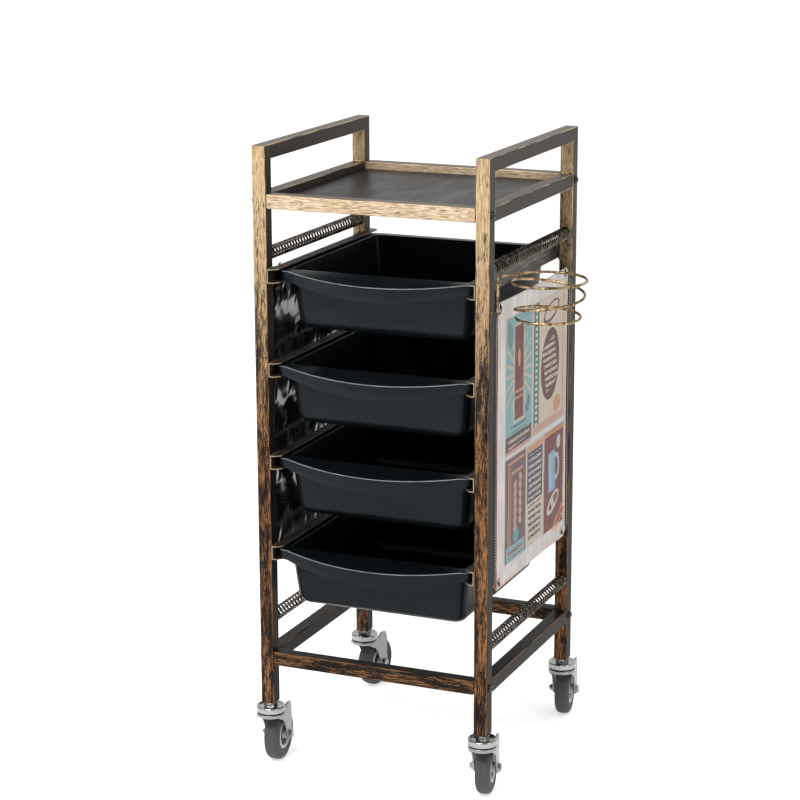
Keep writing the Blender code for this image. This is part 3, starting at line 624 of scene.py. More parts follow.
def rounded_profile(points, radius, steps=3, closed=False):
    """A polyline with each inner corner replaced by a small curve."""
    out = []
    count = len(points)
    for index, point in enumerate(points):
        here = Vector(point)
        ends = not closed and index in (0, count - 1)
        if ends:
            out.append(tuple(here))
            continue
        before, after = Vector(points[index - 1]), Vector(points[(index + 1) % count])
        reach = min(radius, (before - here).length * 0.45, (after - here).length * 0.45)
        start = here + (before - here).normalized() * reach
        end = here + (after - here).normalized() * reach
        for step in range(steps + 1):
            t = step / steps
            out.append(tuple(start * (1 - t) ** 2 + here * 2 * t * (1 - t) + end * t ** 2))
    return out


def tube_along(bm, points, radius, sides=8, mat=0, radii=None, closed=False):
    """A round wire along points. radii, if given, is one radius for each point."""
    points = [Vector(point) for point in points]
    loops = []
    side = None
    for index, point in enumerate(points):
        if closed:
            run = points[(index + 1) % len(points)] - points[index - 1]
        else:
            run = points[min(index + 1, len(points) - 1)] - points[max(index - 1, 0)]
        run.normalize()
        if side is None:
            side = run.orthogonal().normalized()
        side = (side - run * side.dot(run)).normalized()
        other = run.cross(side)
        r = radii[index] if radii else radius
        loops.append(loop(bm, [point + (side * math.cos(math.tau * k / sides) +
                                        other * math.sin(math.tau * k / sides)) * r
                               for k in range(sides)]))
    for first, second in zip(loops, loops[1:]):
        skin(bm, first, second, mat)
    if closed:
        nearest = min(range(sides), key=lambda k: (loops[0][k].co - loops[-1][0].co).length)
        turned_first = loops[0][nearest:] + loops[0][:nearest]
        skin(bm, loops[-1], turned_first, mat)
    else:
        cap(bm, loops[0], mat)
        cap(bm, loops[-1], mat)


def weld_bead(bm, start, end, radius, seed, mat=0):
    """A rippled line of weld between two points."""
    start, end = Vector(start), Vector(end)
    ripples = random.Random(seed)
    count = max(8, int((end - start).length / 0.0007))
    points, radii = [], []
    for step in range(count + 1):
        t = step / count
        points.append(start.lerp(end, t) + UP * ripples.uniform(-0.15, 0.15) * radius)
        taper = min(1.0, 6.0 * t + 0.3, 6.0 * (1.0 - t) + 0.3)
        radii.append(radius * taper * (0.85 + 0.15 * math.sin(9.0 * math.pi * t) +
                                       ripples.uniform(-0.08, 0.08)))
    tube_along(bm, points, radius, 8, mat, radii)


# ---- camera and lights -------------------------------------------------------------------
CAMERA_AZIMUTH, CAMERA_ELEVATION, CAMERA_ROLL = 23.28, 14.10, -0.2     # degrees
CAMERA_AIM, CAMERA_DISTANCE, CAMERA_LENS = Vector((-0.0305, 0.0, 0.5178)), 3.3902, 106.44


def camera():
    """The view of the whole trolley from its front right."""
    azimuth, elevation = math.radians(CAMERA_AZIMUTH), math.radians(CAMERA_ELEVATION)
    back = Vector((math.sin(azimuth) * math.cos(elevation),
                   -math.cos(azimuth) * math.cos(elevation), math.sin(elevation)))
    data = bpy.data.cameras.new("camera")
    data.lens = CAMERA_LENS
    data.sensor_width = 36.0
    cam = bpy.data.objects.new("camera", data)
    bpy.context.scene.collection.objects.link(cam)
    cam.rotation_mode = "QUATERNION"
    cam.location = CENTRE + CAMERA_AIM + back * CAMERA_DISTANCE
    roll = Quaternion((0, 0, 1), math.radians(CAMERA_ROLL))
    cam.rotation_quaternion = (-back).to_track_quat("-Z", "Y") @ roll
    bpy.context.scene.camera = cam


def softbox(name, place, aim, width, height, power, colour=(1.0, 1.0, 1.0)):
    """A rectangular lamp that faces aim."""
    data = bpy.data.lights.new(name, "AREA")
    data.shape = "RECTANGLE"
    data.size, data.size_y = width, height
    data.energy = power
    data.color = colour
    item = bpy.data.objects.new(name, data)
    item.location = place
    item.rotation_mode = "QUATERNION"
    item.rotation_quaternion = (Vector(aim) - Vector(place)).to_track_quat("-Z", "Y")
    bpy.context.scene.collection.objects.link(item)


def studio():
    """A world that is bright behind and above, three soft boxes and a pale lit floor."""
    world = bpy.data.worlds.new("studio")
    world.use_nodes = True
    tree = world.node_tree
    sky = tree.nodes["Background"]
    sky.inputs["Color"].default_value = (1.0, 1.0, 1.0, 1.0)
    way = tree.nodes.new("ShaderNodeSeparateXYZ")
    tree.links.new(tree.nodes.new("ShaderNodeTexCoord").outputs["Generated"], way.inputs[0])
    shares = []
    for axis, low, high, dim, bright in (("Y", -0.10, 0.55, 0.20, 1.0), ("Z", 0.25, 0.95, 0.20, 0.80)):
        ramp = tree.nodes.new("ShaderNodeMapRange")
        ramp.interpolation_type = "SMOOTHSTEP"
        for key, value in (("From Min", low), ("From Max", high), ("To Min", dim), ("To Max", bright)):
            ramp.inputs[key].default_value = value
        tree.links.new(way.outputs[axis], ramp.inputs["Value"])
        shares.append(ramp.outputs[0])
    brighter = tree.nodes.new("ShaderNodeMath")
    brighter.operation = "MAXIMUM"
    for socket, share in zip(brighter.inputs, shares):
        tree.links.new(share, socket)
    tree.links.new(brighter.outputs[0], sky.inputs["Strength"])
    bpy.context.scene.world = world
    bpy.context.scene.view_settings.view_transform = "Standard"
    softbox("key", (-0.3, -1.9, 2.3), (0.0, 0.0, 0.55), 1.6, 0.5, 62.0, (1.0, 0.99, 0.97))
    softbox("side", (2.4, -0.8, 1.3), (0.0, 0.0, 0.5), 0.9, 1.6, 14.0, (1.0, 0.99, 0.97))
    softbox("low", (-1.8, -1.8, 0.9), (0.0, 0.0, 0.45), 0.5, 1.4, 8.0, (0.94, 0.97, 1.0))
    bm = bmesh.new()
    bmesh.ops.create_grid(bm, x_segments=1, y_segments=1, size=40.0)
    mesh = made_mesh(bm, "floor")
    paint = Paint("pale_floor", (0.90, 0.90, 0.90), Roughness=0.9, Specular_IOR_Level=0.0,
                  Emission_Color=(1.0, 1.0, 1.0, 1.0), Emission_Strength=0.52)
    mesh.materials.append(paint.mat)
    floor = bpy.data.objects.new("floor", mesh)
    bpy.context.scene.collection.objects.link(floor)


# ---- frame -------------------------------------------------------------------------------
def frame_tubes(side_name):
    """Two posts mitred to the hand rail, and the tray and base rails between them."""
    side = SIDES[side_name]
    x = side * POST_X
    bm = bmesh.new()
    for end in ENDS.values():
        mitre = (lambda u, v, way=end: HEIGHT - (HALF_D - way * v) - SEAM)
        bar(bm, "z", (x, end * POST_Y), POST_FOOT, mitre, hollow_low=True)
    bar(bm, "y", (x, HEIGHT - TUBE / 2), lambda u, v: -HALF_D + (HEIGHT - v) + SEAM,
        lambda u, v: HALF_D - (HEIGHT - v) - SEAM, mat=1)
    for rail_top in RAIL_TOPS.values():
        bar(bm, "y", (x, rail_top - TUBE / 2), -INNER_Y + SEAM, INNER_Y - SEAM, blunt=0.0005, mat=1)
    filler = TUBE / 2 - SEAM * 1.2
    for end in ENDS.values():
        for rail_top in (HEIGHT, TRAY_RAIL_TOP, BASE_RAIL_TOP):
            inward = 0.0 if rail_top == HEIGHT else TUBE / 4
            middle = Vector((x, end * (POST_Y - inward), rail_top - TUBE / 2))
            reach = Vector((filler, filler + inward, filler))
            block(bm, middle - reach, middle + reach, 2)
    for end in ENDS.values():
        for rail_top in (HEIGHT, TRAY_RAIL_TOP, BASE_RAIL_TOP):
            for bead in ("low",) if rail_top == HEIGHT else ("low", "high"):
                z = rail_top if bead == "high" else rail_top - TUBE
                y = end * INNER_Y
                seed = int(1000 * rail_top) + (7 if end > 0 else 3) + len(bead)
                weld_bead(bm, (x - BEAD_HALF, y, z), (x + BEAD_HALF, y, z), 0.0011, seed, 2)
    name = f"{side_name}_side_frame"
    piece(f"{name}_tubes", bm, [BRONZE_Z, BRONZE_Y, WELD], nodes=[name])


def crossbars():
    """Four bars between the side frames, their ends eased."""
    for end_name, end in ENDS.items():
        for level, top in RAIL_TOPS.items():
            name = f"{level}_{end_name}_crossbar"
            bm = bmesh.new()
            half = INNER_X - SEAM
            bar(bm, "x", (end * POST_Y, top - TUBE / 2), -half, half, edge=0.0019, blunt=0.0024)
            piece(f"{name}_tube", bm, [BRONZE_TRAY if level == "tray" else BRONZE_BASE],
                  nodes=[name])


def hexagon_point(radius, angle):
    """How far a hexagon's edge is from its middle at an angle, with its corners at radius."""
    sector = math.pi / 3
    inner = radius * math.cos(sector / 2)
    return inner / math.cos((angle % sector) - sector / 2)


def button_bolts():
    """Button heads with a hexagon socket, on the outer faces of the posts."""
    head_r, head_h, brim, socket_r, deep, steps = 0.0055, 0.0032, 0.0006, 0.0022, 0.0018, 36
    crown_r = socket_r * 1.25
    rings = [circle(head_r, z, steps) for z in (0.0, brim)]
    for angle in arc(0.0, 90.0, 6)[1:]:
        rings.append(circle(crown_r + (head_r - crown_r) * math.cos(angle),
                            brim + (head_h - brim) * math.sin(angle), steps))
    rings += [circle(lambda a: hexagon_point(socket_r, a), z, steps) for z in (head_h, head_h - deep)]
    for level, top in RAIL_TOPS.items():
        for end_name, end in ENDS.items():
            for side_name, side in SIDES.items():
                bm = bmesh.new()
                loft(bm, rings)
                name = f"bolt_{level}_{end_name}_{side_name}"
                spot = Vector((side * (HALF_W + GAP), end * POST_Y, top - TUBE / 2))
                turn = Matrix.Rotation(side * math.pi / 2, 4, "Y")
                piece(f"{name}_head", bm, [BLACK_BOLT], nodes=[name],
                      place=Matrix.Translation(spot) @ turn, sharp=40.0)


def tray_sheet():
    """The tray's sheet with its turned-down edge."""
    low, high = local_box("tray_pan")
    bend, sheet, corner = 0.0018, 0.0012, 0.003

    def ring(inset, z):
        half_x, half_y = high.x - inset, high.y - inset
        return [(u, v, z) for u, v in rounded_square(half_x, half_y, max(corner - inset, 0.0006), 4)]

    bm = bmesh.new()
    rings = [ring(sheet, high.z - sheet), ring(sheet, low.z), ring(0.0, low.z)]
    for angle in arc(0.0, 90.0, 4):
        rings.append(ring(bend * (1 - math.cos(angle)), high.z - bend * (1 - math.sin(angle))))
    loft(bm, rings)
    piece("tray_pan_sheet", bm, [BLACK_SHEET], nodes=["tray_pan"])


def runners():
    """Folded channels that carry the drawers, their lips' corners cut off."""
    for number in range(1, DRAWERS + 1):
        for side_name, side in SIDES.items():
            name = f"runner_{number}_{side_name}"
            low, high = local_box(name)
            sheet, chamfer, fold = 0.0015, 0.0078, 0.0012
            outer = low.x if side < 0 else high.x
            inner = high.x if side < 0 else low.x
            bm = bmesh.new()
            section = [(inner, high.z - sheet), (inner, high.z), (outer, high.z), (outer, low.z),
                       (inner, low.z), (inner, low.z + sheet), (outer - side * sheet, low.z + sheet),
                       (outer - side * sheet, high.z - sheet)]
            section = rounded_profile(section, fold, 2, closed=True)
            rings = []
            for y, cut in ((low.y, 1.0), (low.y + chamfer, 0.0), (high.y - chamfer, 0.0), (high.y, 1.0)):
                ring = []
                for x, z in section:
                    reach = (outer - x) * side / abs(outer - inner)
                    trim = cut * chamfer * max(0.0, reach - 0.45) / 0.55
                    ring.append((x + side * trim, y, z))
                rings.append(ring)
            loft(bm, rings)
            for end in ENDS.values():
                spot = outer - side * 0.0012
                weld_bead(bm, (spot, end * INNER_Y - 0.004 * end, high.z), (spot, end * HALF_D, high.z),
                          0.0007, number * 10 + end, 1)
            piece(f"{name}_channel", bm, [RUNNER_PAINT, WELD], nodes=[name])


# ---- drawers -----------------------------------------------------------------------------
DRAWER_HALF, DRAWER_FRONT, DRAWER_REAR = 0.1335, -0.1405, 0.151
DRAWER_DEEP, DRAWER_DRAFT, DRAWER_CORNER, DRAWER_WALL = 0.083, 0.007, 0.014, 0.0022
RIM_WIDTH, SKIRT, LIP_REACH, LIP_BOW = 0.016, 0.0138, 0.0175, 0.0205
LIP_FALL, LIP_SKIRT_EXTRA = 0.009, 0.016
# painted light: each drawer's plastic is scaled by its share, brightest for drawer 1 at the top, darkest
# for drawer 4, lit and shaded copies of one plastic
DRAWER_PAINTED_LIGHT = (1.9, 1.5, 1.2, 1.0)     # drawer 1, the best lit, to drawer 4


def drawer_outline(half, front, rear, corner, bow):
    """Points round a drawer from the front's left end, each with its share of the front's bow."""
    end = half - corner
    points = []
    front_steps, corner_steps, side_steps = 40, 8, 10
    for step in range(front_steps + 1):
        x = -end + 2 * end * step / front_steps
        share = 1.0 - (x / end) ** 2
        points.append((x, front - bow * share, share))
    turns = ((1, front, -90.0), (1, rear, 0.0), (-1, rear, 90.0), (-1, front, 180.0))
    for x_sign, y, turn in turns:
        cx = x_sign * end
        cy = y + corner if y == front else y - corner
        for step, angle in enumerate(arc(turn, 90.0, corner_steps)):
            at_front_end = y == front and (step == 0 if x_sign > 0 else step == corner_steps)
            if not at_front_end:
                points.append((cx + corner * math.cos(angle), cy + corner * math.sin(angle), 0.0))
        if turn == 0.0:
            for step in range(1, side_steps):
                points.append((cx - 2 * end * step / side_steps, rear, 0.0))
    return points


def drawer_sections():
    """The rings of the drawer's upper surface, from the skirt's edge to the floor."""
    lip = drawer_outline(DRAWER_HALF + RIM_WIDTH, DRAWER_FRONT - LIP_REACH, DRAWER_REAR + RIM_WIDTH,
                         RIM_WIDTH + 0.0035, LIP_BOW)
    mouth = drawer_outline(DRAWER_HALF, DRAWER_FRONT, DRAWER_REAR, DRAWER_CORNER, 0.0)
    lip_edge, mouth_edge, steps = 0.0022, 0.0012, 4
    yield [(x, y, -SKIRT - LIP_SKIRT_EXTRA * share) for x, y, share in lip]
    yield [(x, y, -LIP_FALL * share - 0.6 * SKIRT) for x, y, share in lip]
    for angle in arc(0.0, 90.0, steps):
        ring = []
        for (x, y, share), (mx, my, _) in zip(lip, mouth):
            inward = Vector((mx - x, my - y)).normalized()
            back = lip_edge * (1 - math.cos(angle))
            down = lip_edge * (1 - math.sin(angle))
            ring.append((x + inward.x * back, y + inward.y * back, -LIP_FALL * share - down))
        yield ring
    for near in (0.35, 0.7):
        fall = LIP_FALL * (1 - near) ** 1.4 + 0.0004
        yield [(x + (mx - x) * near, y + (my - y) * near, -fall * share)
               for (x, y, share), (mx, my, _) in zip(lip, mouth)]
    for angle in arc(0.0, 90.0, steps):
        spread = mouth_edge * (1 - math.sin(angle))
        down = mouth_edge * (1 - math.cos(angle))
        ring = drawer_outline(DRAWER_HALF + spread, DRAWER_FRONT - spread, DRAWER_REAR + spread,
                              DRAWER_CORNER + spread, 0.0)
        yield [(x, y, -down) for x, y, _ in ring]
    wall_foot = DRAWER_DEEP - DRAWER_CORNER
    for part in (0.45, 0.93):
        inset = DRAWER_DRAFT * part
        ring = drawer_outline(DRAWER_HALF - inset, DRAWER_FRONT + inset, DRAWER_REAR - inset,
                              DRAWER_CORNER, 0.0)
        yield [(x, y, -wall_foot * part) for x, y, _ in ring]
    for angle in arc(0.0, 90.0, 5):
        inset = DRAWER_DRAFT + DRAWER_CORNER * (1 - math.cos(angle))
        depth = wall_foot + DRAWER_CORNER * math.sin(angle)
        corner = max(DRAWER_CORNER - 0.55 * DRAWER_CORNER * (1 - math.cos(angle)), 0.004)
        ring = drawer_outline(DRAWER_HALF - inset, DRAWER_FRONT + inset, DRAWER_REAR - inset,
                              corner, 0.0)
        yield [(x, y, -depth) for x, y, _ in ring]


def drawer_shell(number):
    """The moulded drawer: rim, bowed lip, skirt, tub and the ribs for its dividers."""
    name = f"drawer_{number}"
    high = local_box(name)[1]
    bm = bmesh.new()
    loops = [loop(bm, ring) for ring in drawer_sections()]
    for outer, inner in zip(loops, loops[1:]):
        skin(bm, outer, inner)
    cap(bm, loops[-1])
    bmesh.ops.recalc_face_normals(bm, faces=bm.faces)
    if bm.faces[-1].normal.z < 0:
        bmesh.ops.reverse_faces(bm, faces=bm.faces)
    lean = DRAWER_DRAFT / (DRAWER_DEEP - DRAWER_CORNER)
    proud, buried, half = 0.0035, 0.0008, 0.0007
    for y, way in ((DRAWER_FRONT, 1), (DRAWER_REAR, -1)):
        for x in (-0.0022, 0.0022):
            rings = []
            for z in (-(DRAWER_DEEP - 0.010), -0.040):
                wall = y - way * lean * z
                near, far = wall - way * buried, wall + way * proud
                rings.append([(x - half, near, z), (x + half, near, z),
                              (x + half, far, z), (x - half, far, z)])
            loft(bm, rings)
    mesh = made_mesh(bm, f"{name}_shell", 40.0)
    place = Matrix.Translation((0.0, high.y - DRAWER_REAR - RIM_WIDTH, high.z))
    item = piece(f"{name}_shell", mesh, [PLASTICS[number - 1]], body=name,
                 nodes=[name], place=place, even=False)
    shell = item.modifiers.new("wall", "SOLIDIFY")
    shell.thickness = DRAWER_WALL - 0.0002
    shell.offset = -1.0
    even = item.modifiers.new("even_normals", "WEIGHTED_NORMAL")
    even.keep_sharp = True


# ---- springs and ring --------------------------------------------------------------------
def spring_coil(name):
    """The wire of one spring, closed up at its two ends."""
    low, high = local_box(name)
    wire_r = 0.0014
    coil_r = (high.z - low.z) / 2 - wire_r
    cx, cz = (low.x + high.x) / 2, (low.z + high.z) / 2
    turns, closed_turns, per_turn = 37, 2.0, 18
    closed_run = closed_turns * wire_r * 2.1
    start, end = low.y + wire_r, high.y - wire_r
    points = []
    for step in range(turns * per_turn + 1):
        turn = step / per_turn
        if turn < closed_turns:
            y = start + closed_run * turn / closed_turns
        elif turn > turns - closed_turns:
            y = end - closed_run * (turns - turn) / closed_turns
        else:
            share = (turn - closed_turns) / (turns - 2 * closed_turns)
            y = start + closed_run + (end - start - 2 * closed_run) * share
        angle = math.tau * turn
        points.append((cx + coil_r * math.cos(angle), y, cz + coil_r * math.sin(angle)))
    bm = bmesh.new()
    tube_along(bm, points, wire_r, 8)
    for y in (start, end):
        for angle in (0.6, 2.6, 4.6):
            spot = Vector((cx + coil_r * math.cos(angle), y, cz + coil_r * math.sin(angle)))
            made = bmesh.ops.create_icosphere(bm, subdivisions=1, radius=0.0017,
                                              matrix=Matrix.Translation(spot))
            tint_faces(made["verts"], 1)
    piece(f"{name}_coil", bm, [SPRING_WIRE, WELD], nodes=[name], sharp=60.0)


RING_PIVOT = Vector(next(j for j in frame["joints"] if j["name"] == "dryer_holder_swing")["pos_m"])
RING_WIRE, RING_OFFSET, RING_TURNS = 0.0020, (0.068, 0.009), 2.95
ROD_BOTTOM, EYE_HEIGHTS = 0.6866, (0.7340, 0.6941)
RING_LEVELS = ((0.0, 0.0), (1.0, -0.0048), (2.0, -0.0435), (2.5, -0.0520), (3.0, -0.0530))    # turn, height
RING_R, RING_R_LEAST, RING_TAPER = 0.0505, 0.0425, 0.0060       # narrower after the first turn


def ring_height(turn):
    """Height of the ring's wire at a turn, from the arm down."""
    for (start, low), (end, high) in zip(RING_LEVELS, RING_LEVELS[1:]):
        if turn <= end:
            return low + (high - low) * (turn - start) / (end - start)
    return RING_LEVELS[-1][1]


def dryer_ring():
    """The holder's wire: rod, bend, arm and three turns, with a blunt end."""
    elbow, per_turn = 0.004, 48
    points = [Vector((0, 0, ROD_BOTTOM - RING_PIVOT.z + 0.0006)), Vector((0, 0, -0.030)),
              Vector((0, 0, -0.012)), Vector((0, 0, -elbow))]
    for angle in arc(0.0, 90.0, 6)[1:]:
        points.append(Vector((elbow - elbow * math.cos(angle), 0, -elbow + elbow * math.sin(angle))))
    centre = Vector((*RING_OFFSET, 0.0))
    turns = []
    for step in range(0, int(RING_TURNS * per_turn) + 1):
        turn = step / per_turn
        angle = math.pi - math.tau * turn
        radius = max(RING_R_LEAST, RING_R - RING_TAPER * max(0.0, turn - 1.0))
        around = Vector((math.cos(angle), math.sin(angle), 0.0)) * radius
        turns.append(centre + around + Vector((0, 0, ring_height(turn))))
    points += turns[1:]
    bm = bmesh.new()
    tube_along(bm, smoothed(points), RING_WIRE - 0.00005, 14)
    place = Matrix.Translation(RING_PIVOT - CENTRE)
    piece("dryer_ring_wire", bm, [BRASS], body="dryer_holder",
          nodes=["dryer_ring"], place=place, sharp=70.0)


def smoothed(points, rounds=2):
    """The points eased towards the middle of their neighbours, ends kept."""
    for _ in range(rounds):
        eased = [(a + b * 2 + c) / 4 for a, b, c in zip(points, points[1:], points[2:])]
        points = [points[0], *eased, points[-1]]
    return points


def rod_eyes():
    """Two welded wire eyes on the right front post that hold the ring's rod."""
    rod = RING_PIVOT - CENTRE
    eye_r, wire_r, weld_half = 0.0035, 0.0011, 0.0028
    for number, z in enumerate(EYE_HEIGHTS, 1):
        bm = bmesh.new()
        eye = [(rod.x + u, rod.y + v, z) for u, v, _ in circle(eye_r, z, 24)]
        tube_along(bm, eye, wire_r, 10, closed=True)
        leg = [(x, rod.y, z) for x in (HALF_W - 0.0005, HALF_W + 0.002, rod.x - eye_r)]
        tube_along(bm, leg, wire_r * 1.15, 10)
        weld_bead(bm, (HALF_W, rod.y - weld_half, z), (HALF_W, rod.y + weld_half, z), 0.0013,
                  40 + number, 1)
        piece(f"rod_eye_{number}", bm, [BRASS_DARK, WELD], sharp=60.0)


# ---- side panels -------------------------------------------------------------------------
PANEL_CUT = 0.013           # corners cut off at the eyelets
EYELET_IN_Y, EYELET_IN_Z = 0.021, 0.011     # eyelets from the panel's upright and level edges
PANEL_X = 0.1712            # from the centre line
CLOTH = 0.0007              # thickness of the canvas
HEM, HEM_THICK, HEM_PROUD, HEM_BOW = 0.0095, 0.0012, 0.0040, 0.0018    # the black binding
ELASTIC_R = 0.0010
TILE_PLACES = list(TILES.values())


def panel_place(side_name):
    """Side, half width, half height, and middle in Y and Z, of one panel's CAD box."""
    low, high = local_box(f"side_panel_{side_name}")
    half, middle = (high - low) / 2, (low + high) / 2
    return SIDES[side_name], half.y, half.z, middle.y, middle.z


def panel_fold(y, z, half_y, half_z, side):
    """How far the stretched sheet stands off flat: ripples along its edges, folds that
    radiate from the eyelets, and a slack belly."""
    edge_y, edge_z = half_y - abs(y), half_z - abs(z)
    strength = 1.0 if side > 0 else 2.2
    ripple = noise.noise(Vector((y * 18.0, z * 26.0, 3.0 * side)))
    near_edge = math.exp(-min(edge_y, edge_z) / 0.022)
    off = 0.00055 * strength * ripple * (0.4 + near_edge)
    long_fold = noise.noise(Vector((y * 60.0, z * 9.0, 11.0 * side)))
    off += 0.0006 * strength * long_fold * math.exp(-edge_y / 0.03)
    for sy in (-1, 1):
        for sz in (-1, 1):
            dy, dz = sy * (half_y - EYELET_IN_Y) - y, sz * (half_z - EYELET_IN_Z) - z
            reach = math.hypot(dy, dz)
            fan = math.sin(9.0 * math.atan2(dz, dy) + sy + sz)
            off += 0.0006 * strength * fan * math.exp(-reach / 0.035) * min(1.0, reach / 0.01)
    if side < 0:
        crease = noise.noise(Vector((y * 34.0 + z * 14.0, z * 16.0, 5.0)))
        off += 0.0014 * crease
        off += 0.0009 * abs(noise.noise(Vector((y * 70.0 - z * 30.0, z * 55.0, 9.0))))
    off *= 0.3 + 0.7 * min(1.0, max(0.0, edge_y) / 0.020)
    return max(-0.0030, min(0.0022, off))


def panel_sheet(side_name):
    """The coated canvas: drawn in between its corners, creased, printed on its outer side."""
    side, half_y, half_z, cy, cz = panel_place(side_name)
    bm = bmesh.new()
    bmesh.ops.create_grid(bm, x_segments=90, y_segments=120, size=1.0)
    for vert in bm.verts:
        vert.co = Vector((0.0, vert.co.x * half_y, vert.co.y * half_z))
    for sy in (-1, 1):
        for sz in (-1, 1):
            normal = Vector((0.0, sy, sz)).normalized()
            corner = Vector((0.0, sy * half_y, sz * half_z)) - normal * PANEL_CUT / math.sqrt(2)
            bmesh.ops.bisect_plane(bm, geom=bm.verts[:] + bm.edges[:] + bm.faces[:], dist=1e-7,
                                   plane_co=corner, plane_no=normal, clear_outer=True)
    pull, pull_reach = 0.0022, 0.012
    for vert in bm.verts:
        y, z = vert.co.y, vert.co.z
        edge_y, edge_z = half_y - abs(y), half_z - abs(z)
        bow = pull * math.sin(math.pi * (z / half_z + 1) / 2) * math.exp(-edge_y / pull_reach)
        sag = pull * math.sin(math.pi * (y / half_y + 1) / 2) * math.exp(-edge_z / pull_reach)
        off = panel_fold(y, z, half_y, half_z, side)
        vert.co = Vector((off * side, y - math.copysign(bow, y), z - math.copysign(sag, z)))
    for face in bm.faces:
        if (face.normal.x > 0) != (side > 0):
            face.normal_flip()
    bmesh.ops.solidify(bm, geom=bm.faces[:], thickness=CLOTH)
    bm.normal_update()
    bmesh.ops.recalc_face_normals(bm, faces=bm.faces)
    for face in bm.faces:
        across, up = face.calc_center_median().yz + Vector((half_y, half_z))
        inside = [front <= across < rear and foot <= up < top for front, rear, foot, top in TILE_PLACES]
        if face.normal.x * side > 0.2:
            face.material_index = 1 + (inside.index(True) if any(inside) else 0)
    name = f"side_panel_{side_name}"
    return piece(f"{name}_cloth", made_mesh(bm, f"{name}_sheet"), [VINYL, *PRINTED],
                 nodes=[name], place=Matrix.Translation((side * PANEL_X, cy, cz)), even=False)


def panel_binding(side_name):
    """Black binding folded over the front and rear edges, and its stitches."""
    side, half_y, half_z, cy, cz = panel_place(side_name)
    straight, steps = half_z - PANEL_CUT, 60
    pitch, run, stitch_in, proud = 0.0042, 0.0024, 0.0020, 0.0002

    def lifted(away, y, z):
        """The point (y, z) on the stretched sheet, moved away from it."""
        near = max(-half_y, min(half_y, y - cy))
        return side * (PANEL_X + away + panel_fold(near, z - cz, half_y, half_z, side)), y, z

    bm = bmesh.new()
    for end in ENDS.values():
        edge = cy + end * (half_y + HEM_PROUD)
        inner = edge - end * HEM
        rings = []
        for step in range(steps + 1):
            t = 2 * step / steps - 1
            bow = HEM_BOW * math.cos(math.pi * t / 2) * end
            corner = edge - bow - 0.0006 * end
            section = ((HEM_THICK, inner - bow), (HEM_THICK, corner), (0.0, edge - bow),
                       (-HEM_THICK, corner), (-HEM_THICK, inner - bow))
            rings.append([lifted(away, y, cz + straight * t) for away, y in section])
        loft(bm, rings)
        for step in range(int(2 * straight / pitch)):
            z = cz - straight + pitch * (step + 0.5)
            y = inner + stitch_in * end - HEM_BOW * math.cos(math.pi * (z - cz) / straight / 2) * end
            for face_side in (1, -1):
                start = Vector(lifted(face_side * (HEM_THICK + proud), y, z))
                up, out = UP * run / 2, Vector((side * face_side * proud, 0.0, 0.0))
                tube_along(bm, [start - up, start + out, start + up], 0.0004, 5, 1)
    return piece(f"side_panel_{side_name}_binding", bm, [BINDING, THREAD],
                 sharp=50.0)


def panel_ties(side_name):
    """Each corner's eyelet and elastic tie."""
    side, half_y, half_z, cy, cz = panel_place(side_name)
    eyelet = rounded_profile([(0.0030, -0.0011), (0.0056, -0.0008), (0.0056, 0.0008),
                              (0.0030, 0.0011)], 0.0009, 4, closed=True)
    made = []
    for end_name, end in ENDS.items():
        for level, up in (("upper", 1), ("lower", -1)):
            corner = f"{level}_{end_name}"
            spot = Vector((side * PANEL_X, cy + end * (half_y - EYELET_IN_Y),
                           cz + up * (half_z - EYELET_IN_Z)))
            facing_out = Matrix.Translation(spot) @ Matrix.Rotation(math.pi / 2, 4, "Y")
            bm = bmesh.new()
            turned(bm, eyelet, 32, closed=True)
            made.append(piece(f"side_panel_{side_name}_eyelet_{corner}", bm, [EYELET],
                              place=facing_out, sharp=60.0))
            bm = bmesh.new()
            tube_along(bm, smoothed(tie_path(side, spot, end, up)), ELASTIC_R, 8)
            made.append(piece(f"side_panel_{side_name}_tie_{corner}", bm, [ELASTIC],
                              sharp=70.0))
    return made


def tie_path(side, spot, end, up):
    """An elastic tie: out through the eyelet, past the edge of the runner and in behind its web."""
    outer = spot.x + side * 0.0016
    web = side * (INNER_X + 0.0012)
    inner = side * (INNER_X - 0.0030)
    name = f"runner_{1 if up > 0 else DRAWERS}_{'left' if side < 0 else 'right'}"
    low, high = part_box(name)
    far = high.z + 0.0016 if up > 0 else low.z - 0.0016
    drift = end * 0.004
    points = [(spot.x - side * 0.002, spot.y, spot.z), (outer, spot.y, spot.z + up * 0.0012),
              (outer, spot.y + drift * 0.3, spot.z + up * 0.006)]
    points.append((web + side * 0.004, spot.y + drift, (far * 2 + spot.z) / 3))
    points.append((web, spot.y + drift, far - up * 0.0010))
    points.append((side * (INNER_X - 0.0006), spot.y + drift * 1.2, far))
    points.append((inner + side * 0.0008, spot.y + drift * 1.4, far))
    return subdivide(points)


def subdivide(points, parts=4):
    """More points along straight runs, so that easing them rounds only the corners."""
    points = [Vector(point) for point in points]
    out = [points[0]]
    for first, second in zip(points, points[1:]):
        out += [first.lerp(second, step / parts) for step in range(1, parts + 1)]
    return out


# ---- casters -----------------------------------------------------------------------------
TRAIL, WHEEL_R, TYRE_W, HUB_R = 0.030, 0.038, 0.022, 0.0225
CHEEK_IN, CHEEK_SHEET = 0.0148, 0.0027


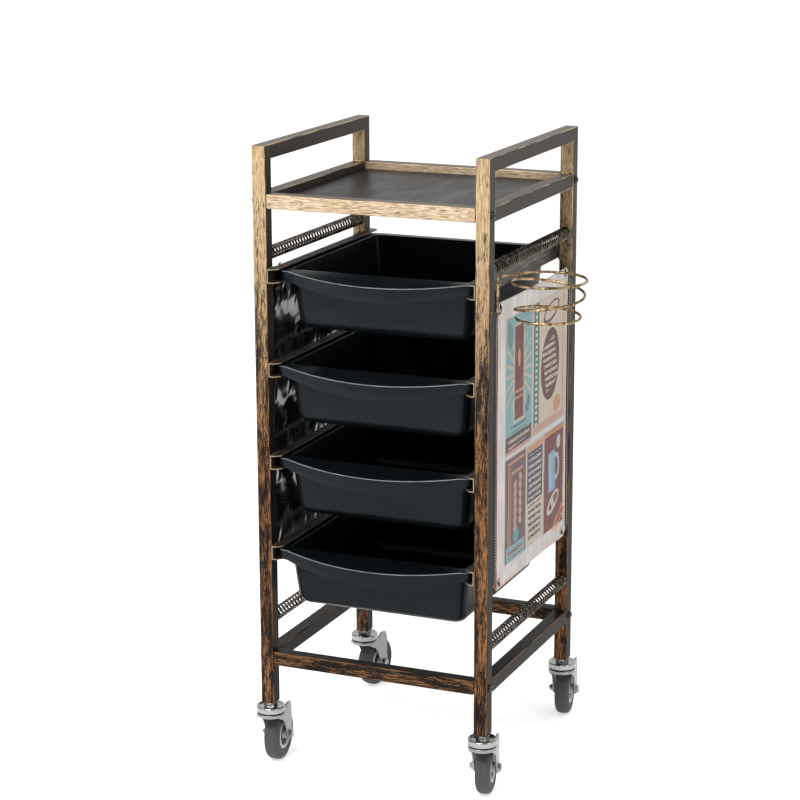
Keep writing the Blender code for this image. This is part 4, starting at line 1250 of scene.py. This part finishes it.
def swivel_cup(corner, place):
    """Stem and dished cup of the swivel, with the balls showing under its rim."""
    bm = bmesh.new()
    outer = [(0.0012, 0.1275), (0.0042, 0.1275), (0.0048, 0.1268), (0.0048, 0.0900), (0.0105, 0.0897),
             (0.0150, 0.0906), (0.0182, 0.0924), (0.0198, 0.0929), (0.0209, 0.0915), (0.0209, 0.0853),
             (0.0203, 0.0842), (0.0192, 0.0846), (0.0190, 0.0868), (0.0060, 0.0868), (0.0052, 0.0850),
             (0.0049, 0.0768), (0.0088, 0.0768), (0.0086, 0.0742), (0.0012, 0.0736)]
    turned(bm, rounded_profile(outer, 0.0007, 3), 48)
    thread_r, thread_foot, pitch, turns, per_turn = 0.0049, 0.0985, 0.0010, 27, 16
    ridge = [(x, y, z + pitch * (turn + step / per_turn)) for turn in range(turns)
             for step, (x, y, z) in enumerate(circle(thread_r, thread_foot, per_turn))]
    tube_along(bm, ridge, 0.0003, 5)
    for spot in circle(0.0172, 0.0848, 18):
        bmesh.ops.create_icosphere(bm, subdivisions=2, radius=0.0015, matrix=Matrix.Translation(spot))
    name = f"caster_{corner}_swivel_cup"
    piece(f"{name}_dish", bm, [ZINC], nodes=[name], place=place, sharp=40.0)


def lock_nut(corner, place):
    """Hexagon nut with chamfered corners and a plain bore."""
    low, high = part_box(f"caster_{corner}_lock_nut")
    radius, bore_r, face_r, chamfer, steps = 0.017 / math.sqrt(3.0), 0.0054, 0.0084, 0.0007, 48

    def ring(z, limit=radius):
        return circle(lambda a: min(hexagon_point(radius, a), limit), z, steps)

    bm = bmesh.new()
    loft(bm, [circle(bore_r, low.z, steps), ring(low.z, face_r), ring(low.z + chamfer),
              ring(high.z - chamfer), ring(high.z, face_r), circle(bore_r, high.z, steps)], closed=True)
    name = f"caster_{corner}_lock_nut"
    piece(f"{name}_hexagon", bm, [ZINC_DULL], nodes=[name], place=place, sharp=30.0)


def cheek_profile():
    """Side of the fork, in the (back, up) plane: plate, shoulder, leg and rounded foot."""
    foot_r = 0.0083
    front = [(-0.0125, 0.0822), (-0.0130, 0.0775), (-0.0040, 0.0738), (0.0045, 0.0690),
             (0.0110, 0.0618), (0.0155, 0.0545), (0.0185, 0.0470), (0.0205, 0.0420)]
    foot = [(TRAIL + foot_r * math.cos(a), WHEEL_R + foot_r * math.sin(a)) for a in arc(190.0, 172.0, 12)]
    back = [(0.0391, 0.0500), (0.0392, 0.0700), (0.0382, 0.0830), (0.0345, 0.0885), (0.0215, 0.0902),
            (0.0185, 0.0868), (0.0165, 0.0828)]
    return front + foot + back


def inset_outline(outline, inset):
    """The outline's points moved inwards, square to the edge at each."""
    points = [Vector(point) for point in outline]
    middle = sum(points, Vector((0.0, 0.0))) / len(points)
    moved = []
    for index, point in enumerate(points):
        run = points[(index + 1) % len(points)] - points[index - 1]
        normal = Vector((run.y, -run.x)).normalized()
        moved.append(point - normal * inset if normal.dot(point - middle) > 0 else point + normal * inset)
    return moved


def fork_shell(corner, place, body):
    """Pressed fork: swivel plate with a turned-down rim, two cheeks joined behind the plate."""
    bm = bmesh.new()
    plate = [(0.0056, 0.0829), (0.0165, 0.0829), (0.0198, 0.0823), (0.0204, 0.0812), (0.0204, 0.0774),
             (0.0190, 0.0771), (0.0188, 0.0790), (0.0056, 0.0790)]
    turned(bm, rounded_profile(plate, 0.0006, 3, closed=True), 56, closed=True)
    outline = rounded_profile(cheek_profile(), 0.0022, 3, closed=True)
    boss = rounded_profile([(0.0034, 0.0), (0.0072, 0.0), (0.0072, 0.0010), (0.0034, 0.0012)],
                           0.0003, 2, closed=True)
    edge, boss_sunk = 0.0006, 0.0008
    for side in (-1, 1):
        inner, outer = side * CHEEK_IN, side * (CHEEK_IN + CHEEK_SHEET)
        layers = ((inner, edge), (inner + side * edge, 0.0), (outer - side * edge, 0.0), (outer, edge))
        loft(bm, [[(x, back, up) for back, up in inset_outline(outline, inset)] for x, inset in layers])
        before = len(bm.verts)
        turned(bm, boss, 28, closed=True)
        spot = Matrix.Translation((outer - side * boss_sunk, TRAIL, WHEEL_R))
        bmesh.ops.transform(bm, matrix=spot @ Matrix.Rotation(side * math.pi / 2, 4, "Y"),
                            verts=bm.verts[before:])
    bridge_r, bridge_thick, bridge_low, bridge_high = 0.0172, 0.0022, UP * 0.0778, UP * 0.0826
    rings = []
    for angle in arc(20.0, 140.0, 12):
        out = Vector((math.cos(angle), math.sin(angle), 0.0))
        near, far = out * bridge_r, out * (bridge_r + bridge_thick)
        rings.append([near + bridge_high, far + bridge_high, far + bridge_low, near + bridge_low])
    loft(bm, rings)
    name = f"caster_{corner}_fork"
    piece(f"{name}_shell", bm, [ZINC_DULL], body=body, nodes=[name], place=place, sharp=38.0)


def axle_bolt(corner, place, body):
    """Bolt through the fork: shank, head and washer on one side, nut on the other."""
    outer = CHEEK_IN + CHEEK_SHEET + GAP
    bm = bmesh.new()

    def solid(*rings):
        loft(bm, [[(x, TRAIL + u, WHEEL_R + v) for u, v, _ in circle(radius, 0.0, 48)]
                  for x, radius in rings])

    def hexagon(angle):
        return hexagon_point(0.0058, angle)

    solid((-outer, 0.0029), (outer, 0.0029))
    solid((outer, hexagon), (outer + 0.0034, hexagon), (outer + 0.0042, lambda a: min(hexagon(a), 0.0051)))
    solid((outer + 0.00005, 0.0066), (outer + 0.0009, 0.0066))
    solid((-outer, hexagon), (-outer - 0.0030, hexagon), (-outer - 0.0036, 0.0048),
          (-outer - 0.0046, 0.0042), (-outer - 0.0046, 0.0030), (-outer - 0.0062, 0.0029))
    name = f"caster_{corner}_axle_bolt"
    piece(f"{name}_bright", bm, [ZINC], body=body, nodes=[name], place=place, sharp=30.0)


def wheel(corner, place, body):
    """Tyre with moulded rings on its sidewalls and a hub with a dark recess."""
    lay = place @ Matrix.Translation((0.0, TRAIL, WHEEL_R)) @ Matrix.Rotation(math.pi / 2, 4, "Y")
    half, inner = TYRE_W / 2, HUB_R + 0.0002
    side_profile = [(inner, half - 0.0012), (inner + 0.0016, half - 0.0004), (inner + 0.0042, half),
                    (inner + 0.0046, half - 0.0005), (inner + 0.0052, half), (0.0312, half - 0.0002),
                    (0.0316, half - 0.0008), (0.0322, half - 0.0003), (0.0352, half - 0.0016),
                    (0.0370, half - 0.0036), (0.0378, half - 0.0062)]
    tread = [(0.0380, 0.0022), (0.0380, 0.0008), (0.0377, 0.0004), (0.0377, -0.0004), (0.0380, -0.0008),
             (0.0380, -0.0022)]
    profile = side_profile + tread + [(r, -z) for r, z in reversed(side_profile)]
    bm = bmesh.new()
    turned(bm, rounded_profile(profile, 0.0004, 2, closed=True), 72, closed=True)
    name = f"caster_{corner}_tyre"
    piece(f"{name}_ring", bm, [TYRE], body=body, nodes=[name], place=lay, sharp=50.0)
    bm = bmesh.new()
    boss = CHEEK_IN - 0.0008
    face = [(0.0034, boss), (0.0066, boss), (0.0072, boss - 0.0008), (0.0076, 0.0070), (0.0092, 0.0062),
            (0.0150, 0.0064), (0.0164, 0.0068), (0.0172, half - 0.0016), (0.0180, half - 0.0008),
            (0.0208, half - 0.0006), (0.0222, half - 0.0012), (HUB_R, half - 0.0020)]
    profile = face + [(r, -z) for r, z in reversed(face)]
    turned(bm, rounded_profile(profile, 0.0005, 2, closed=True), 64, closed=True)
    name = f"caster_{corner}_hub"
    piece(f"{name}_moulding", bm, [HUB], body=body, nodes=[name], place=lay, sharp=40.0)
    cover = [(0.0078, 0.0), (0.0160, 0.0), (0.0160, 0.0006), (0.0078, 0.0006)]
    for side_name, side in SIDES.items():
        bm = bmesh.new()
        turned(bm, cover, 48, closed=True)
        piece(f"caster_{corner}_dust_cover_{side_name}", bm, [DUST_COVER], body=body,
              place=lay @ Matrix.Translation((0.0, 0.0, side * 0.0072)), sharp=40.0)


def casters():
    """A caster under each post, turned as its wheel's axis lies in the frame."""
    joints = {joint["name"]: joint for joint in frame["joints"]}
    for end_name, end in ENDS.items():
        for side_name, side in SIDES.items():
            corner = f"{end_name}_{side_name}"
            axis = Vector(joints[f"wheel_{corner}_spin"]["axis"])
            yaw = math.atan2(axis.y, axis.x)
            still = Matrix.Translation((side * POST_X, end * POST_Y, 0.0))
            place = still @ Matrix.Rotation(yaw, 4, "Z")
            swivel_cup(corner, still)
            lock_nut(corner, still @ Matrix.Rotation(0.35, 4, "Z"))
            fork_shell(corner, place, f"fork_{corner}")
            axle_bolt(corner, place, f"fork_{corner}")
            wheel(corner, place, f"wheel_{corner}")


# ---- assembly ----------------------------------------------------------------------------
camera()
studio()

BRONZE_Z = bronze("bronze_posts", "z")
BRONZE_Y = bronze("bronze_rails", "y")
# the tray bars get a paler gilding and more gold, partly their cream tone and partly painted light high on
# the frame; the base bars get more gold to make up for the painted darkening lower down
BRONZE_TRAY = bronze("bronze_tray_bars", "x", gold=1.75, gilding=(0.62, 0.50, 0.37))
BRONZE_BASE = bronze("bronze_base_bars", "x", gold=3.1)
RUNNER_PAINT = dark_bronze("dark_bronze_runners", "y")
WELD = speckled("weld_metal", 420.0, 3.0, ((0.03, 0.025, 0.02), (0.52, 0.34, 0.16)), (0.6, 0.35),
                contrast=(0.38, 0.62), Metallic=0.6)
BLACK_BOLT = speckled("black_bolt", 900.0, 2.0, ((0.012, 0.012, 0.013), (0.05, 0.05, 0.052)),
                      (0.24, 0.36), Metallic=0.7)
BLACK_SHEET = black_sheet()
PLASTICS = [drawer_plastic(f"drawer_plastic_{number}", tone)
            for number, tone in enumerate(DRAWER_PAINTED_LIGHT, 1)]
SPRING_WIRE = wire_metal("spring_wire", (0.018, 0.015, 0.013), (0.14, 0.115, 0.085), 0.22)
BRASS = wire_metal("brass_wire", (0.085, 0.055, 0.032), (0.42, 0.29, 0.15), 0.26)
BRASS_DARK = wire_metal("brass_wire_dark", (0.07, 0.042, 0.026), (0.26, 0.16, 0.09), 0.36)
ZINC = zinc("zinc_bright", 0.95, 0.14)
ZINC_DULL = zinc("zinc_satin", 0.78, 0.26)
TYRE = tyre_rubber()
HUB = speckled("hub_plastic", 90.0, 3.0, ((0.34, 0.34, 0.335), (0.50, 0.50, 0.49)), (0.42, 0.55),
               Specular_IOR_Level=0.4)
DUST_COVER = plain_cloth("hub_recess", (0.010, 0.010, 0.011), (0.022, 0.022, 0.024), 0.55, 300.0)
VINYL = vinyl_black()
BINDING = plain_cloth("black_binding", (0.010, 0.010, 0.010), (0.045, 0.042, 0.040), 0.62)
THREAD = plain_cloth("pale_thread", (0.34, 0.32, 0.30), (0.55, 0.52, 0.49), 0.7)
ELASTIC = plain_cloth("black_elastic", (0.008, 0.008, 0.008), (0.030, 0.030, 0.030), 0.6, 1400.0)
EYELET = wire_metal("eyelet_metal", (0.10, 0.095, 0.09), (0.42, 0.40, 0.38), 0.28)
PRINTED = [printed_cloth(tile) for tile in TILES]

for side_key in SIDES:
    frame_tubes(side_key)
crossbars()
button_bolts()
tray_sheet()
runners()
for drawer_number in range(1, DRAWERS + 1):
    drawer_shell(drawer_number)
for level_key in ("upper", "lower"):
    for side_key in SIDES:
        spring_coil(f"spring_{level_key}_{side_key}")
dryer_ring()
rod_eyes()
for side_key in SIDES:
    _, half_wide, half_high, _, _ = panel_place(side_key)
    cloth = panel_sheet(side_key)
    trims = [panel_binding(side_key), *panel_ties(side_key)]
casters()
